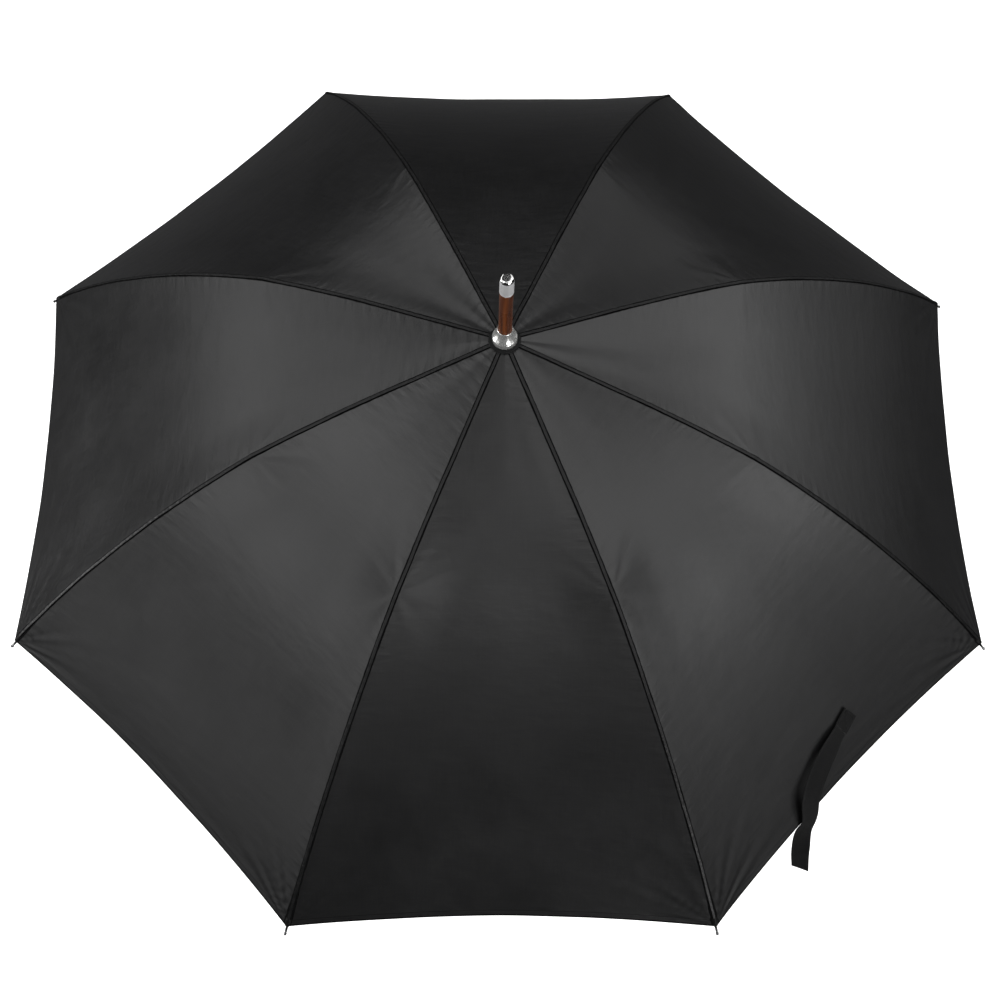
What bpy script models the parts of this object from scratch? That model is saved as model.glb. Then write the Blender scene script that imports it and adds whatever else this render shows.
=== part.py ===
"""Stick umbrella, open: eight two-part ribs, a sliding runner, a wooden shaft and a crook handle.

Metres, +Z up. The origin is on the shaft's axis in the middle of the handle's grip.
Ribs fold about pins in the notch. Each stretcher is as long as the rib's inner part, so the
runner stays on the shaft while it slides.
"""

import math

import bmesh
import bpy
import numpy as np
from mathutils import Matrix, Vector

# Canopy and ribs
RIB_COUNT = 8
RIB_STEP = 360.0 / RIB_COUNT
FIRST_RIB_DEG = RIB_STEP / 2
CANOPY_ARC = 0.6095  # along a seam, from the shaft's axis to the hem's corner
JOINER_SHARE = 0.43  # of that arc, where the stretcher meets the rib
INNER_SLOPES = ((0.0, 10.0), (0.08, 9.0), (0.20, 9.0), (0.40, 15.5), (0.43, 17.0))
OUTER_SLOPES = ((0.43, 23.0), (0.60, 32.0), (0.80, 41.0), (1.0, 49.0))
CLOTH = 0.0008
CLOTH_GAP = 0.00015
GORE_SAG = 0.006
HEM_RISE = 0.014
PANEL_START = 0.0074
INNER_ROWS = 5
OUTER_ROWS = 7
GORE_ROWS = INNER_ROWS + OUTER_ROWS
GORE_COLUMNS = 6
CURVE_STEPS = 1200

# Heights
Z_APEX = 0.6770
PIVOT_RADIUS = 0.0125
NOTCH_TOP = Z_APEX - 0.0045
NOTCH_PIVOT_Z = Z_APEX - 0.0077
NOTCH_BOTTOM = Z_APEX - 0.0122
COLLAR_BORE_Z = Z_APEX + 0.0045
WOOD_TIP_TOP = Z_APEX + 0.0820
TIP_TOP = Z_APEX + 0.1050
GRIP_TOP = 0.055

# Pieces across the shaft
SHAFT_RADIUS = 0.0070
STUD_RADIUS = 0.0055
TIP_STUD_RADIUS = 0.0030
TIP_STUD_TOP = Z_APEX + 0.0300
GAP = 0.0003
DISC_RADIUS = 0.0146
SLOT_FLOOR = 0.0100
SLOT_WIDTH = 0.0020
WIRE_RADIUS = 0.0005
WIRE_GROOVE = 0.0016
EYE_RADIUS = 0.0020
EYE_HOLE = 0.00085
TONGUE = 0.0012
FACE_STEP = 0.00005  # keeps an eye's flat from lying in its tongue's flat

# Rib sections
RIB_TOP = 0.0021
RIB_WIDTH = 0.0034
RIB_HEIGHT = 0.0031
WALL = 0.0006
ROD_RADIUS = 0.0014
ROD_DEPTH = 0.0034
JOINT_DEPTH = 0.0083
JOINT_EYE = 0.0023
JOINT_HOLE = 0.0012
RIVET_RADIUS = 0.0009
STRETCHER_WIDTH = 0.0030
STRETCHER_HEIGHT = 0.0032

# Runner
RUNNER_BORE = 0.0074
RUNNER_KEY = 0.0093
RUNNER_SLEEVE = 0.0104
RUNNER_HEAD_UP = 0.0032
RUNNER_HEAD_DOWN = 0.0045
RUNNER_LENGTH = 0.0560
KEY_WIDTH = 0.0036

# Catches
CATCH_LENGTH = 0.026
CATCH_THICK = 0.0020
CATCH_PIVOT_RADIUS = 0.0040
CATCH_SLOT = 0.0026
CATCH_SLOT_FLOOR = 0.0012
CLOSED_DEG = 86.5
BOTTOM_CATCH_UP = 0.022

# Handle
CROOK_RADIUS = 0.043
CROOK_START = -0.036
CROOK_END_RISE = 0.022
GRIP_RADIUS = 0.0108
CROOK_SECTION = 0.0122
SOCKET_DEPTH = 0.046

# Tie strap
STRAP_GORE = 7
STRAP_WIDTH = 0.018
STRAP_THICK = 0.0010
STRAP_LAID = (  # across the gore, share of the seam, height over the cloth
    (0.077, 0.913, 0.0024),
    (-0.017, 0.918, 0.0055),
    (-0.124, 0.927, 0.0090),
    (-0.214, 0.941, 0.0108),
    (-0.287, 0.962, 0.0108),
)
STRAP_HANG = (  # past the hem: outwards, down, sideways, share of the turn to the end's facing
    (0.0095, 0.018, 0.008, 0.05),
    (0.013, 0.040, 0.016, 0.40),
    (0.021, 0.066, 0.022, 0.80),
    (0.031, 0.096, 0.027, 1.00),
)
STRAP_LEAN = math.radians(30)  # how far the hanging part first faces up
STRAP_END_FACES = (-0.46, -0.77, 0.36)
STRAP_ROLL = math.radians(32)  # the band rolls over most where it arches off the cloth
STRAP_ROLL_AT = 0.30  # shares of its length
STRAP_ROLL_SPREAD = 0.22
STRAP_ROLL_START = 0.12
STRAP_RINGS = 28
PATCH_AT = (0.128, 0.907)
PATCH_LIFT = 0.0022
PATCH_THICK = 0.0012
PATCH_WIDTH = 0.0195
PATCH_LENGTH = 0.0160

ROUND = 24


def cleared():
    for old in list(bpy.data.objects):
        bpy.data.objects.remove(old, do_unlink=True)


# --- Seam curve -------------------------------------------------------------------------------


def seam_table():
    share = np.linspace(0.0, 1.0, CURVE_STEPS + 1)
    inner = np.interp(share, *zip(*INNER_SLOPES))
    outer = np.interp(share, *zip(*OUTER_SLOPES))
    slope = np.radians(np.where(share <= JOINER_SHARE, inner, outer))
    step = CANOPY_ARC / CURVE_STEPS
    middle = (slope[1:] + slope[:-1]) / 2
    radius = np.concatenate([[0.0], np.cumsum(np.cos(middle) * step)])
    drop = np.concatenate([[0.0], np.cumsum(-np.sin(middle) * step)])
    return share * CANOPY_ARC, radius, drop, slope


ARC, RADIUS, DROP, SLOPE = seam_table()
JOINER_ARC = JOINER_SHARE * CANOPY_ARC


def seam(arc):
    """Radius, height and slope of the cloth's outer face along a rib."""
    beyond = max(0.0, arc - CANOPY_ARC)
    slope = float(np.interp(arc, ARC, SLOPE))
    radius = float(np.interp(arc, ARC, RADIUS)) + beyond * math.cos(slope)
    height = Z_APEX + float(np.interp(arc, ARC, DROP)) - beyond * math.sin(slope)
    return radius, height, slope


def arc_at(radius):
    return float(np.interp(radius, RADIUS, ARC))


def under(arc, depth, slope=None):
    """The point this deep below the seam, in a rib's plane."""
    radius, height, own = seam(arc)
    slope = own if slope is None else slope
    return radius - depth * math.sin(slope), height - depth * math.cos(slope)


JOINER_SLOPE = math.radians(INNER_SLOPES[-1][1])
NOTCH_PIVOT = (PIVOT_RADIUS, NOTCH_PIVOT_Z)
JOINT = under(JOINER_ARC - 1e-6, JOINT_DEPTH, JOINER_SLOPE)
ARM = math.hypot(JOINT[0] - NOTCH_PIVOT[0], JOINT[1] - NOTCH_PIVOT[1])
OPEN_ANGLE = math.asin((NOTCH_PIVOT[1] - JOINT[1]) / ARM)
RUNNER_PIVOT = (PIVOT_RADIUS, NOTCH_PIVOT_Z - 2 * ARM * math.sin(OPEN_ANGLE))
RUNNER_CLOSED_Z = NOTCH_PIVOT_Z - 2 * ARM * math.sin(math.radians(CLOSED_DEG))

# --- Mesh helpers -----------------------------------------------------------------------------


def mesh_of(name, points, faces):
    mesh = bpy.data.meshes.new(name)
    mesh.from_pydata([tuple(p) for p in points], [], faces)
    return faced_out(mesh)


def faced_out(mesh):
    work = bmesh.new()
    work.from_mesh(mesh)
    bmesh.ops.recalc_face_normals(work, faces=work.faces)
    work.to_mesh(mesh)
    work.free()
    return mesh


def loft(name, rings):
    """A closed skin over rings of equal length, with a face at each end."""
    count = len(rings[0])
    points = [p for ring in rings for p in ring]
    faces = [tuple(range(count))]
    for row in range(len(rings) - 1):
        low = row * count
        for k in range(count):
            following = (k + 1) % count
            faces.append((low + k, low + following, low + count + following, low + count + k))
    faces.append(tuple(range((len(rings) - 1) * count, len(rings) * count)))
    return mesh_of(name, points, faces)


def swept(name, section, stations, origin=(0.0, 0.0)):
    """Sweeps (across, up) points along (x, z, slope, scale) stations in the local XZ plane."""
    rings = []
    for x, z, slope, scale in stations:
        ring = []
        for across, up in section:
            out = x - origin[0] + up * scale * math.sin(slope)
            high = z - origin[1] + up * scale * math.cos(slope)
            ring.append((out, across * scale, high))
        rings.append(ring)
    return loft(name, rings)


def prism(name, outline, low, high):
    """Extrudes an (x, z) outline from y = low to y = high."""
    near = [(x, low, z) for x, z in outline]
    far = [(x, high, z) for x, z in outline]
    return loft(name, [near, far])


def turned(name, profile, segments=ROUND, closed=True):
    """Spins an (r, z) profile about Z. A closed profile makes a ring."""
    work = bmesh.new()
    verts = [work.verts.new((r, 0.0, z)) for r, z in profile]
    edges = [work.edges.new(pair) for pair in zip(verts, verts[1:])]
    if closed:
        edges.append(work.edges.new((verts[-1], verts[0])))
    bmesh.ops.spin(
        work,
        geom=verts + edges,
        cent=(0.0, 0.0, 0.0),
        axis=(0.0, 0.0, 1.0),
        angle=math.tau,
        steps=segments,
        use_duplicate=False,
    )
    bmesh.ops.remove_doubles(work, verts=work.verts, dist=1e-6)
    bmesh.ops.recalc_face_normals(work, faces=work.faces)
    mesh = bpy.data.meshes.new(name)
    work.to_mesh(mesh)
    work.free()
    return mesh


def pin(name, centre, radius, half_length, segments=10):
    """A cylinder along Y."""
    work = bmesh.new()
    bmesh.ops.create_cone(
        work,
        cap_ends=True,
        segments=segments,
        radius1=radius,
        radius2=radius,
        depth=2 * half_length,
        matrix=Matrix.Translation(centre) @ Matrix.Rotation(math.pi / 2, 4, "X"),
    )
    mesh = bpy.data.meshes.new(name)
    work.to_mesh(mesh)
    work.free()
    return mesh


def block(name, low, high, turn_deg=0.0):
    work = bmesh.new()
    centre = (Vector(low) + Vector(high)) / 2
    size = Vector(high) - Vector(low)
    place = Matrix.Rotation(math.radians(turn_deg), 4, "Z")
    place = place @ Matrix.Translation(centre) @ Matrix.Diagonal((*size, 1.0))
    bmesh.ops.create_cube(work, size=1.0, matrix=place)
    mesh = bpy.data.meshes.new(name)
    work.to_mesh(mesh)
    work.free()
    return mesh


def built(name, base, added=(), cut=()):
    """The base with meshes joined to it and meshes cut from it, as one mesh."""
    body = bpy.data.objects.new(name + "_work", base)
    helpers = []
    bpy.context.scene.collection.objects.link(body)
    for operation, meshes in (("UNION", added), ("DIFFERENCE", cut)):
        for mesh in meshes:
            helper = bpy.data.objects.new("cutter", mesh)
            bpy.context.scene.collection.objects.link(helper)
            helpers.append(helper)
            step = body.modifiers.new(operation, "BOOLEAN")
            step.operation = operation
            step.solver = "EXACT"
            step.object = helper
    bpy.context.view_layer.update()
    graph = bpy.context.evaluated_depsgraph_get()
    made = bpy.data.meshes.new_from_object(body.evaluated_get(graph))
    made.name = name
    for helper in [body, *helpers]:
        bpy.data.objects.remove(helper, do_unlink=True)
    work = bmesh.new()
    work.from_mesh(made)
    bmesh.ops.remove_doubles(work, verts=work.verts, dist=2e-6)
    bmesh.ops.dissolve_degenerate(work, edges=work.edges, dist=1e-6)
    bmesh.ops.recalc_face_normals(work, faces=work.faces)
    work.to_mesh(made)
    work.free()
    return made


# --- Scene helpers ----------------------------------------------------------------------------

LOOKS = {}


def look(name, colour, roughness, metallic=0.0):
    material = bpy.data.materials.new(name)
    material.use_nodes = True
    shader = material.node_tree.nodes["Principled BSDF"]
    shader.inputs["Base Color"].default_value = (*colour, 1.0)
    shader.inputs["Roughness"].default_value = roughness
    shader.inputs["Metallic"].default_value = metallic
    material.diffuse_color = (*colour, 1.0)
    LOOKS[name] = material
    return material


def put(name, mesh, material, collection, place=(0, 0, 0), turn_deg=0.0, parent=None, smooth=True):
    item = bpy.data.objects.new(name, mesh)
    if not mesh.materials:
        mesh.materials.append(LOOKS[material])
    collection.objects.link(item)
    item.parent = parent
    item.location = place
    item.rotation_euler = (0.0, 0.0, math.radians(turn_deg))
    if smooth:
        for face in mesh.polygons:
            face.use_smooth = True
    return item


def pivot(name, place, collection, turn_deg=0.0, parent=None):
    empty = bpy.data.objects.new(name, None)
    empty.empty_display_size = 0.01
    collection.objects.link(empty)
    empty.location = place
    empty.rotation_euler = (0.0, 0.0, math.radians(turn_deg))
    empty.parent = parent
    return empty


# --- Sections and outlines --------------------------------------------------------------------


def circle(radius, count):
    turns = [math.tau * (k + 0.5) / count for k in range(count)]
    return [(radius * math.cos(t), radius * math.sin(t)) for t in turns]


def channel(width, top, height):
    """A U section open downwards, as (across, up) points."""
    half = width / 2
    low = top - height
    return [
        (-half, low),
        (-half, top),
        (half, top),
        (half, low),
        (half - WALL, low),
        (half - WALL, top - WALL),
        (WALL - half, top - WALL),
        (WALL - half, low),
    ]


def bar(width, top, bottom):
    return [(-width / 2, bottom), (-width / 2, top), (width / 2, top), (width / 2, bottom)]


def rib_top_depth(radius):
    """How far the channel's top runs below the cloth: it rises to it from the notch."""
    rise = min(1.0, max(0.0, (radius - PIVOT_RADIUS) / 0.045))
    return RIB_TOP + 0.0013 * (1.0 - rise) ** 2


def rib_stations(start, end, count):
    stations = []
    for k in range(count):
        arc = start + (end - start) * k / (count - 1)
        radius, height, slope = seam(arc)
        depth = rib_top_depth(radius)
        x = radius - depth * math.sin(slope)
        stations.append((x, height - depth * math.cos(slope), slope, 1.0))
    return stations


def joint_outline(points, slope):
    """(along, up) points about the joint, along a line with this slope, as local (x, z)."""
    placed = []
    for along, up in points:
        x = along * math.cos(slope) + up * math.sin(slope)
        placed.append((x, up * math.cos(slope) - along * math.sin(slope)))
    return placed


def eye_arc(radius, first_deg, last_deg, count):
    turns = [math.radians(first_deg + (last_deg - first_deg) * k / (count - 1)) for k in range(count)]
    return [(radius * math.cos(t), radius * math.sin(t)) for t in turns]


# --- Ribs -------------------------------------------------------------------------------------


def inner_rib_mesh():
    origin = NOTCH_PIVOT
    start = arc_at(PIVOT_RADIUS + 0.0066)
    end = JOINER_ARC - 0.001
    body = swept("rib", channel(RIB_WIDTH, 0.0, RIB_HEIGHT), rib_stations(start, end, 8), origin)
    tongue_end = arc_at(PIVOT_RADIUS + 0.0105)
    tongue_path = rib_stations(arc_at(PIVOT_RADIUS), tongue_end, 4)
    tongue = swept("tongue", bar(TONGUE, -0.0002, -0.0028), tongue_path, origin)
    eye = pin("eye", (0, 0, 0), EYE_RADIUS, TONGUE / 2 + FACE_STEP)
    sleeve_path = rib_stations(end - 0.013, end, 3)
    sleeve = swept("sleeve", bar(0.0042, -0.0001, -0.0033), sleeve_path, origin)
    joint = Vector((JOINT[0] - origin[0], 0.0, JOINT[1] - origin[1]))
    outline = [(-0.0095, 0.0038), (-0.0015, 0.0038), *eye_arc(JOINT_EYE, 30, -150, 5)]
    outline = [
        (joint.x + x, joint.z + z) for x, z in joint_outline(outline, JOINER_SLOPE)
    ]
    lugs = [prism("lug", outline, side - 0.0004, side + 0.0004) for side in (-0.0017, 0.0017)]
    rivet = pin("rivet", joint, RIVET_RADIUS, 0.0038, 8)
    hole = pin("hole", (0, 0, 0), EYE_HOLE, 0.003, 8)
    return built("inner_rib", body, [tongue, eye, sleeve, *lugs, rivet], [hole])


def outer_rod_mesh():
    origin = JOINT
    start = JOINER_ARC + 0.0060
    end = CANOPY_ARC - 0.0034
    path = []
    for k in range(9):
        arc = start + (end - start) * k / 8
        x, z = under(arc, ROD_DEPTH)
        path.append((x, z, seam(arc)[2], 1.0))
    rod = swept("rod", circle(ROD_RADIUS, 8), path, origin)
    socket_path = []
    for arc in (JOINER_ARC + 0.0045, JOINER_ARC + 0.0125):
        x, z = under(arc, ROD_DEPTH)
        socket_path.append((x, z, seam(arc)[2], 1.0))
    socket = swept("socket", bar(0.0066, 0.0012, -0.0022), socket_path, origin)
    slope = seam(JOINER_ARC + 0.004)[2]
    reach = [(0.0090, 0.0032), (0.0090, 0.0060), (0.0050, 0.0060)]
    outline = joint_outline([*eye_arc(JOINT_EYE, 150, 310, 5), *reach], slope)
    cheeks = [prism("cheek", outline, side - 0.0004, side + 0.0004) for side in (-0.0029, 0.0029)]
    hole = pin("hole", (0, 0, 0), JOINT_HOLE, 0.005, 8)
    return built("outer_rod", rod, [socket, *cheeks], [hole])


def tip_mesh():
    """A metal end with a ball, turned about the rod's last direction."""
    radius, height, slope = seam(CANOPY_ARC)
    x, z = under(CANOPY_ARC, ROD_DEPTH)
    profile = [
        (0.00175, -0.0080),
        (0.0021, -0.0080),
        (0.0021, -0.0010),
        (0.0013, 0.0006),
        (0.0011, 0.0098),
    ]
    ball = 0.0017
    for k in range(1, 4):
        turn = math.radians(-60 + 150 * k / 3)
        profile.append((ball * math.cos(turn), 0.0116 + ball * math.sin(turn)))
    profile[-1] = (0.0, 0.0133)
    bore = [(0.0, -0.0028), (0.00175, -0.0028), (0.00175, -0.0080)]
    mesh = turned("rib_tip", [*bore, *profile[1:]], 8, closed=False)
    outward = Vector((math.cos(slope), 0.0, -math.sin(slope)))
    turn = outward.to_track_quat("Z", "Y").to_matrix().to_4x4()
    mesh.transform(Matrix.Translation((x - JOINT[0], 0.0, z - JOINT[1])) @ turn)
    return mesh


def stretcher_mesh():
    """From the rib's joint at the origin, inwards and down to the runner."""
    slope = -OPEN_ANGLE

    def station(along):
        return -along * math.cos(OPEN_ANGLE), -along * math.sin(OPEN_ANGLE), slope, 1.0

    half = STRETCHER_HEIGHT / 2
    path = [station(0.0078), station(ARM / 2), station(ARM - 0.0078)]
    body = swept("stretcher", channel(STRETCHER_WIDTH, half, STRETCHER_HEIGHT), path)
    outer_path = [station(0.0), station(0.0130)]
    outer = swept("outer_tongue", bar(0.0020, half - 0.0003, -0.0013), outer_path)
    inner_path = [station(ARM - 0.0120), station(ARM)]
    inner = swept("inner_tongue", bar(TONGUE, half - 0.0003, -0.0013), inner_path)
    outer_eye = pin("eye", (0, 0, 0), JOINT_EYE, 0.0010 + FACE_STEP)
    foot = Vector((RUNNER_PIVOT[0] - JOINT[0], 0.0, RUNNER_PIVOT[1] - JOINT[1]))
    inner_eye = pin("eye", foot, EYE_RADIUS, TONGUE / 2 + FACE_STEP)
    holes = [pin("hole", (0, 0, 0), JOINT_HOLE, 0.003, 8), pin("hole", foot, EYE_HOLE, 0.003, 8)]
    return built("stretcher", body, [outer, inner, outer_eye, inner_eye], holes)


# --- Canopy -----------------------------------------------------------------------------------


def gore_point(across, share, lift=0.0):
    """A point of the gore that follows the rib at azimuth 0. across runs from -1 to 1."""
    bow = 1.0 - across * across
    arc = share * CANOPY_ARC * (1.0 - HEM_RISE * bow * share**2)
    radius, height, slope = seam(arc)
    near = Vector((radius, 0.0, 0.0))
    far = Vector((radius * math.cos(STEP), radius * math.sin(STEP), 0.0))
    flat = near.lerp(far, (across + 1) / 2)
    mid = Vector((math.cos(STEP / 2), math.sin(STEP / 2), 0.0))
    steep = math.atan(math.tan(slope) / math.cos(STEP / 2))
    outward = mid * math.sin(steep) + Vector((0, 0, math.cos(steep)))
    sag = GORE_SAG * bow * (radius / RADIUS[-1])
    point = flat + Vector((0, 0, height)) + outward * (lift - sag)
    return point, outward


STEP = math.radians(RIB_STEP)


def panel_mesh():
    first = PANEL_START / CANOPY_ARC
    shares = [first + (JOINER_SHARE - first) * k / INNER_ROWS for k in range(INNER_ROWS)]
    shares += [JOINER_SHARE + (1 - JOINER_SHARE) * k / OUTER_ROWS for k in range(OUTER_ROWS + 1)]
    points = []
    for depth in (0.0, CLOTH):
        for share in shares:
            radius, _, slope = seam(share * CANOPY_ARC)
            steep = math.atan(math.tan(slope) / math.cos(STEP / 2))
            gap = CLOTH_GAP + depth * math.sin(steep) * math.sin(STEP / 2)
            edge = 1.0 - gap / (radius * math.sin(STEP / 2) * math.cos(STEP / 2))
            for column in range(GORE_COLUMNS + 1):
                across = edge * (2 * column / GORE_COLUMNS - 1)
                point = gore_point(across, share, -depth)[0]
                points.append(point - Vector((NOTCH_PIVOT[0], 0.0, NOTCH_PIVOT[1])))
    wide = GORE_COLUMNS + 1
    layer = wide * (GORE_ROWS + 1)
    faces = []
    for row in range(GORE_ROWS):
        for column in range(GORE_COLUMNS):
            a = row * wide + column
            quad = (a, a + 1, a + wide + 1, a + wide)
            faces.append(quad)
            faces.append(tuple(layer + v for v in reversed(quad)))
    rim = list(range(wide))
    rim += [r * wide + GORE_COLUMNS for r in range(1, GORE_ROWS + 1)]
    rim += [GORE_ROWS * wide + c for c in range(GORE_COLUMNS - 1, -1, -1)]
    rim += [r * wide for r in range(GORE_ROWS - 1, 0, -1)]
    for k, a in enumerate(rim):
        b = rim[(k + 1) % len(rim)]
        faces.append((a, layer + a, layer + b, b))
    return mesh_of("canopy_panel", points, faces)


# --- Middle -----------------------------------------------------------------------------------


def cone_height(radius):
    return Z_APEX - radius * math.tan(math.radians(INNER_SLOPES[0][1]))


def cone_ring(name, inner, outer, above, thick):
    profile = [
        (inner, cone_height(inner) + above),
        (outer, cone_height(outer) + above),
        (outer, cone_height(outer) + above + thick),
        (inner, cone_height(inner) + above + thick),
    ]
    return turned(name, profile)


def rib_slots(low, high):
    slots = []
    for k in range(RIB_COUNT):
        turn = FIRST_RIB_DEG + k * RIB_STEP
        half = SLOT_WIDTH / 2
        slots.append(block("slot", (SLOT_FLOOR, -half, low), (0.02, half, high), turn))
    return slots


def wire_groove(height):
    inner = PIVOT_RADIUS - WIRE_GROOVE / 2
    half = WIRE_GROOVE / 2
    profile = [(inner, height - half), (0.02, height - half), (0.02, height + half)]
    return turned("groove", [*profile, (inner, height + half)])


def wire_mesh(height):
    profile = [(PIVOT_RADIUS + x, height + z) for x, z in circle(WIRE_RADIUS, 6)]
    return turned("wire", profile, 24)


def notch_mesh():
    bore = STUD_RADIUS + GAP
    profile = [
        (bore, NOTCH_BOTTOM),
        (DISC_RADIUS - 0.0008, NOTCH_BOTTOM),
        (DISC_RADIUS, NOTCH_BOTTOM + 0.0008),
        (DISC_RADIUS, NOTCH_TOP - 0.0010),
        (DISC_RADIUS - 0.0022, NOTCH_TOP),
        (bore, NOTCH_TOP),
    ]
    cuts = rib_slots(NOTCH_BOTTOM - 0.002, NOTCH_TOP + 0.002) + [wire_groove(NOTCH_PIVOT_Z)]
    return built("crown_notch", turned("notch", profile), cut=cuts)


def runner_mesh():
    head = RUNNER_PIVOT[1] + RUNNER_HEAD_UP
    under_head = RUNNER_PIVOT[1] - RUNNER_HEAD_DOWN
    foot = head - RUNNER_LENGTH
    profile = [
        (RUNNER_BORE, foot),
        (0.0122, foot),
        (0.0128, foot + 0.0010),
        (0.0128, foot + 0.0034),
        (0.0118, foot + 0.0050),
        (RUNNER_SLEEVE, foot + 0.0064),
        (RUNNER_SLEEVE, under_head - 0.0050),
        (0.0112, under_head - 0.0022),
        (DISC_RADIUS - 0.0008, under_head),
        (DISC_RADIUS, under_head + 0.0008),
        (DISC_RADIUS, head - 0.0008),
        (DISC_RADIUS - 0.0008, head),
        (RUNNER_BORE, head),
    ]
    half = KEY_WIDTH / 2
    key = block("key", (0.0, -half, foot - 0.002), (RUNNER_KEY, half, head + 0.002), -90.0)
    cuts = rib_slots(under_head - 0.0030, head + 0.002)
    cuts += [wire_groove(RUNNER_PIVOT[1]), key]
    return built("runner", turned("runner", profile), cut=cuts)


TOP_CATCH_Z = RUNNER_PIVOT[1] + RUNNER_HEAD_UP - RUNNER_LENGTH - 0.0006 - CATCH_LENGTH
CLOSED_FOOT_Z = RUNNER_CLOSED_Z + RUNNER_HEAD_UP - RUNNER_LENGTH
BOTTOM_CATCH_Z = CLOSED_FOOT_Z + BOTTOM_CATCH_UP - CATCH_LENGTH
STOP_Z = RUNNER_PIVOT[1] + RUNNER_HEAD_UP + 0.0014


def catch_mesh():
    """Outline with x towards the shaft's surface and z up, about the catch's pivot."""
    reach = SHAFT_RADIUS - CATCH_PIVOT_RADIUS
    nose = reach + 0.0020
    outline = [
        (-0.0015, -0.0024),
        (0.0016, -0.0024),
        (reach - 0.0006, 0.0),
        (reach - 0.0002, 0.0070),
        (nose - 0.0003, CATCH_LENGTH - 0.0022),
        (nose, CATCH_LENGTH - 0.0010),
        (nose, CATCH_LENGTH),
        (0.0016, CATCH_LENGTH),
        (-0.0002, CATCH_LENGTH - 0.0060),
        (-0.0015, 0.0030),
    ]
    return prism("catch", outline, -CATCH_THICK / 2, CATCH_THICK / 2)


def shaft_mesh():
    shoulder = NOTCH_BOTTOM - GAP
    bottom = GRIP_TOP - SOCKET_DEPTH + 0.0006
    profile = [
        (0.0, bottom),
        (SHAFT_RADIUS - 0.0005, bottom),
        (SHAFT_RADIUS, bottom + 0.0005),
        (SHAFT_RADIUS, shoulder),
        (STUD_RADIUS, shoulder),
        (STUD_RADIUS, COLLAR_BORE_Z - 0.0010),
        (TIP_STUD_RADIUS, COLLAR_BORE_Z - 0.0010),
        (TIP_STUD_RADIUS, TIP_STUD_TOP),
        (0.0, TIP_STUD_TOP),
    ]
    half = CATCH_SLOT / 2
    cuts = []
    for foot in (TOP_CATCH_Z, BOTTOM_CATCH_Z):
        low = (CATCH_SLOT_FLOOR, -half, foot - 0.0036)
        cuts.append(block("slot", low, (0.012, half, foot + CATCH_LENGTH + 0.0012), -90.0))
    hole = pin("hole", (0, 0, 0), 0.0013, 0.012, 16)
    hole.transform(Matrix.Translation((0, 0, STOP_Z)) @ Matrix.Rotation(math.pi / 2, 4, "Z"))
    return built("shaft", turned("shaft", profile, closed=False), cut=[*cuts, hole])


def stop_pin_mesh():
    mesh = pin("stop_pin", (0, 0, 0), 0.0010, 0.0092, 12)
    mesh.transform(Matrix.Rotation(math.pi / 2, 4, "Z"))
    return mesh


# --- Ferrule ----------------------------------------------------------------------------------


def collar_mesh():
    base = 0.0008
    profile = [
        (STUD_RADIUS + GAP, cone_height(STUD_RADIUS) + 0.0016),
        (0.0112, cone_height(0.0112) + 0.0016),
        (0.0119, Z_APEX - 0.0001),
        (0.0119, Z_APEX + 0.0052),
        (0.0116, Z_APEX + 0.0060),
        (0.0108, Z_APEX + 0.0068),
        (0.0094, Z_APEX + 0.0092),
        (0.0083, Z_APEX + 0.0122),
        (0.0077, Z_APEX + 0.0155),
        (0.0075, Z_APEX + 0.0176),
        (0.0071, Z_APEX + 0.0182),
        (0.0067, Z_APEX + 0.0180),
        (0.0067, COLLAR_BORE_Z - GAP),
        (STUD_RADIUS + GAP, COLLAR_BORE_Z - GAP - base),
    ]
    return turned("canopy_collar", profile)


def wood_tip_mesh():
    bore = TIP_STUD_RADIUS + GAP
    top = TIP_TOP - 0.0040
    profile = [
        (0.0, TIP_STUD_TOP + GAP),
        (bore, TIP_STUD_TOP + GAP),
        (bore, COLLAR_BORE_Z),
        (0.0064, COLLAR_BORE_Z),
        (0.00645, WOOD_TIP_TOP - 0.0005),
        (0.0060, WOOD_TIP_TOP),
        (0.0056, WOOD_TIP_TOP),
        (0.0056, top),
        (0.0, top),
    ]
    return turned("ferrule_wood", profile, closed=False)


def cap_mesh():
    low = WOOD_TIP_TOP + GAP
    bore = 0.0056 + GAP
    inside = TIP_TOP - 0.0040 + GAP
    profile = [
        (0.0, inside),
        (bore, inside),
        (bore, low),
        (0.0065, low),
        (0.0067, low + 0.0006),
        (0.0066, TIP_TOP - 0.0030),
        (0.0063, TIP_TOP - 0.0012),
        (0.0056, TIP_TOP - 0.0003),
        (0.0046, TIP_TOP),
        (0.0, TIP_TOP),
    ]
    return turned("ferrule_cap", profile, closed=False)


# --- Handle -----------------------------------------------------------------------------------


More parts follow.
